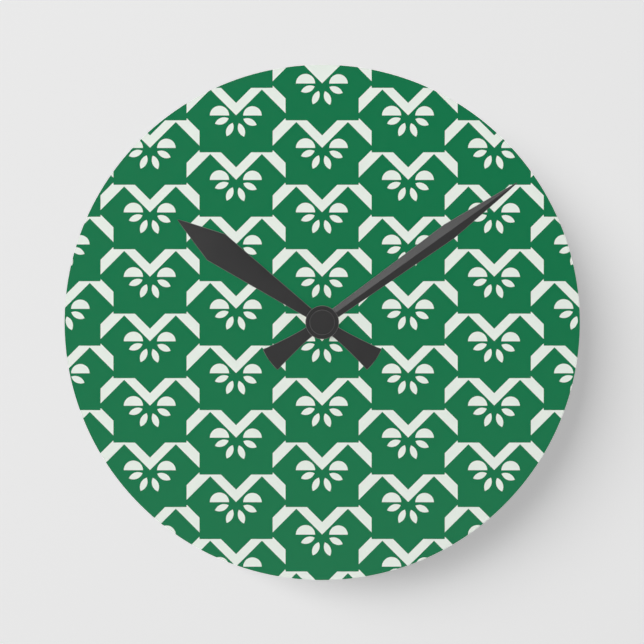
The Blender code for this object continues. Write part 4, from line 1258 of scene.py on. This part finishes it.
def make_floor():
    n, painted = plain_surface("floor_paint", 0.70, 0.56)
    floor = stage_plane("floor", n.shade(painted), FLOOR_SIZE)
    floor.location = (0.0, 0.0, FLOOR_Z)
    floor.visible_diffuse = False
    return floor


def aim(azimuth, polar, distance):
    """A place in front of the dial: azimuth counter-clockwise from +X, polar from -Y."""
    a, p = math.radians(azimuth), math.radians(polar)
    side = math.sin(p) * distance
    return Vector((side * math.cos(a), -math.cos(p) * distance, side * math.sin(a)))


def softbox(name, settings, receivers, blockers):
    """A soft lamp that points at the clock; it lights its receivers, shaded by its blockers."""
    azimuth, polar, distance, size, power = settings
    place = aim(azimuth, polar, distance)
    lamp = bpy.data.lights.new(name, "AREA")
    lamp.shape = "RECTANGLE"
    lamp.size, lamp.size_y = size
    lamp.energy = power
    made = bpy.data.objects.new(name, lamp)
    bpy.context.scene.collection.objects.link(made)
    made.location = place
    made.rotation_euler = (-place).to_track_quat("-Z", "Y").to_euler()
    made.visible_camera = False
    made.light_linking.receiver_collection = receivers
    made.light_linking.blocker_collection = blockers
    return made


def make_lights(stage_set, clock_set, behind_hands, shadow_set):
    # a large lamp at the upper left throws the soft shadow on the wall
    softbox("wall_lamp", WALL_LAMP, stage_set, shadow_set)
    # the hands are left out of the blockers of the key and fill lamps, so they throw no shadow on
    # the dial
    softbox("key", KEY_LAMP, clock_set, behind_hands)
    for azimuth in FILL_AZIMUTHS:
        softbox(f"fill_{azimuth:.0f}", (azimuth, *FILL_LAMP), clock_set, behind_hands)
    for azimuth, power in REAR_POWERS:
        softbox(f"rear_{azimuth:.0f}", (azimuth, *REAR_LAMP, power), clock_set, clock_set)


def make_world():
    """A pale surround for the camera; in reflections it is dark straight in front of the dial."""
    world = bpy.data.worlds.new("studio")
    bpy.context.scene.world = world
    world.use_nodes = True
    tree = world.node_tree
    tree.nodes.clear()
    shown = tree.nodes.new("ShaderNodeBackground")
    shown.inputs["Color"].default_value = (0.76, 0.76, 0.765, 1.0)
    mirrored = tree.nodes.new("ShaderNodeBackground")
    parts = tree.nodes.new("ShaderNodeSeparateXYZ")
    ramp = tree.nodes.new("ShaderNodeMapRange")
    ramp.inputs["From Min"].default_value = -0.98
    ramp.inputs["From Max"].default_value = -0.60
    ramp.inputs["To Min"].default_value = 0.03
    ramp.inputs["To Max"].default_value = 0.34
    direction = tree.nodes.new("ShaderNodeTexCoord").outputs["Generated"]
    tree.links.new(direction, parts.inputs[0])
    tree.links.new(parts.outputs["Y"], ramp.inputs["Value"])
    tree.links.new(ramp.outputs["Result"], mirrored.inputs["Strength"])
    path = tree.nodes.new("ShaderNodeLightPath")
    mix = tree.nodes.new("ShaderNodeMixShader")
    output = tree.nodes.new("ShaderNodeOutputWorld")
    tree.links.new(path.outputs["Is Camera Ray"], mix.inputs[0])
    tree.links.new(mirrored.outputs[0], mix.inputs[1])
    tree.links.new(shown.outputs[0], mix.inputs[2])
    tree.links.new(mix.outputs[0], output.inputs["Surface"])
    world.cycles_visibility.diffuse = False


def make_camera():
    lens = bpy.data.cameras.new("camera")
    lens.lens = LENS_MM
    lens.sensor_width = SENSOR_MM
    made = bpy.data.objects.new("camera", lens)
    bpy.context.scene.collection.objects.link(made)
    distance = FIELD_WIDTH * LENS_MM / SENSOR_MM
    dial_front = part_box("dial_print")[0].y
    made.location = (CAMERA_OFFSET[0], dial_front - distance, CAMERA_OFFSET[1])
    made.rotation_euler = (math.radians(90.0), 0.0, 0.0)
    lens.clip_start = 0.01
    lens.clip_end = 50.0
    bpy.context.scene.camera = made


def collection_of(name, members):
    made = bpy.data.collections.new(name)
    for member in members:
        made.objects.link(member)
    return made


make_disc()
make_print()
hands = make_hands()
make_movement()
stage_set = collection_of("stage", [make_wall(), make_floor()])
clock_set = collection_of("clock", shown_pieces())
behind_hands = collection_of("behind_hands", [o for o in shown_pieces() if o not in hands])
shadow_set = collection_of("shadow", [make_shadow_caster()])
make_lights(stage_set, clock_set, behind_hands, shadow_set)
make_world()
make_camera()
bpy.context.scene.view_settings.view_transform = "Standard"
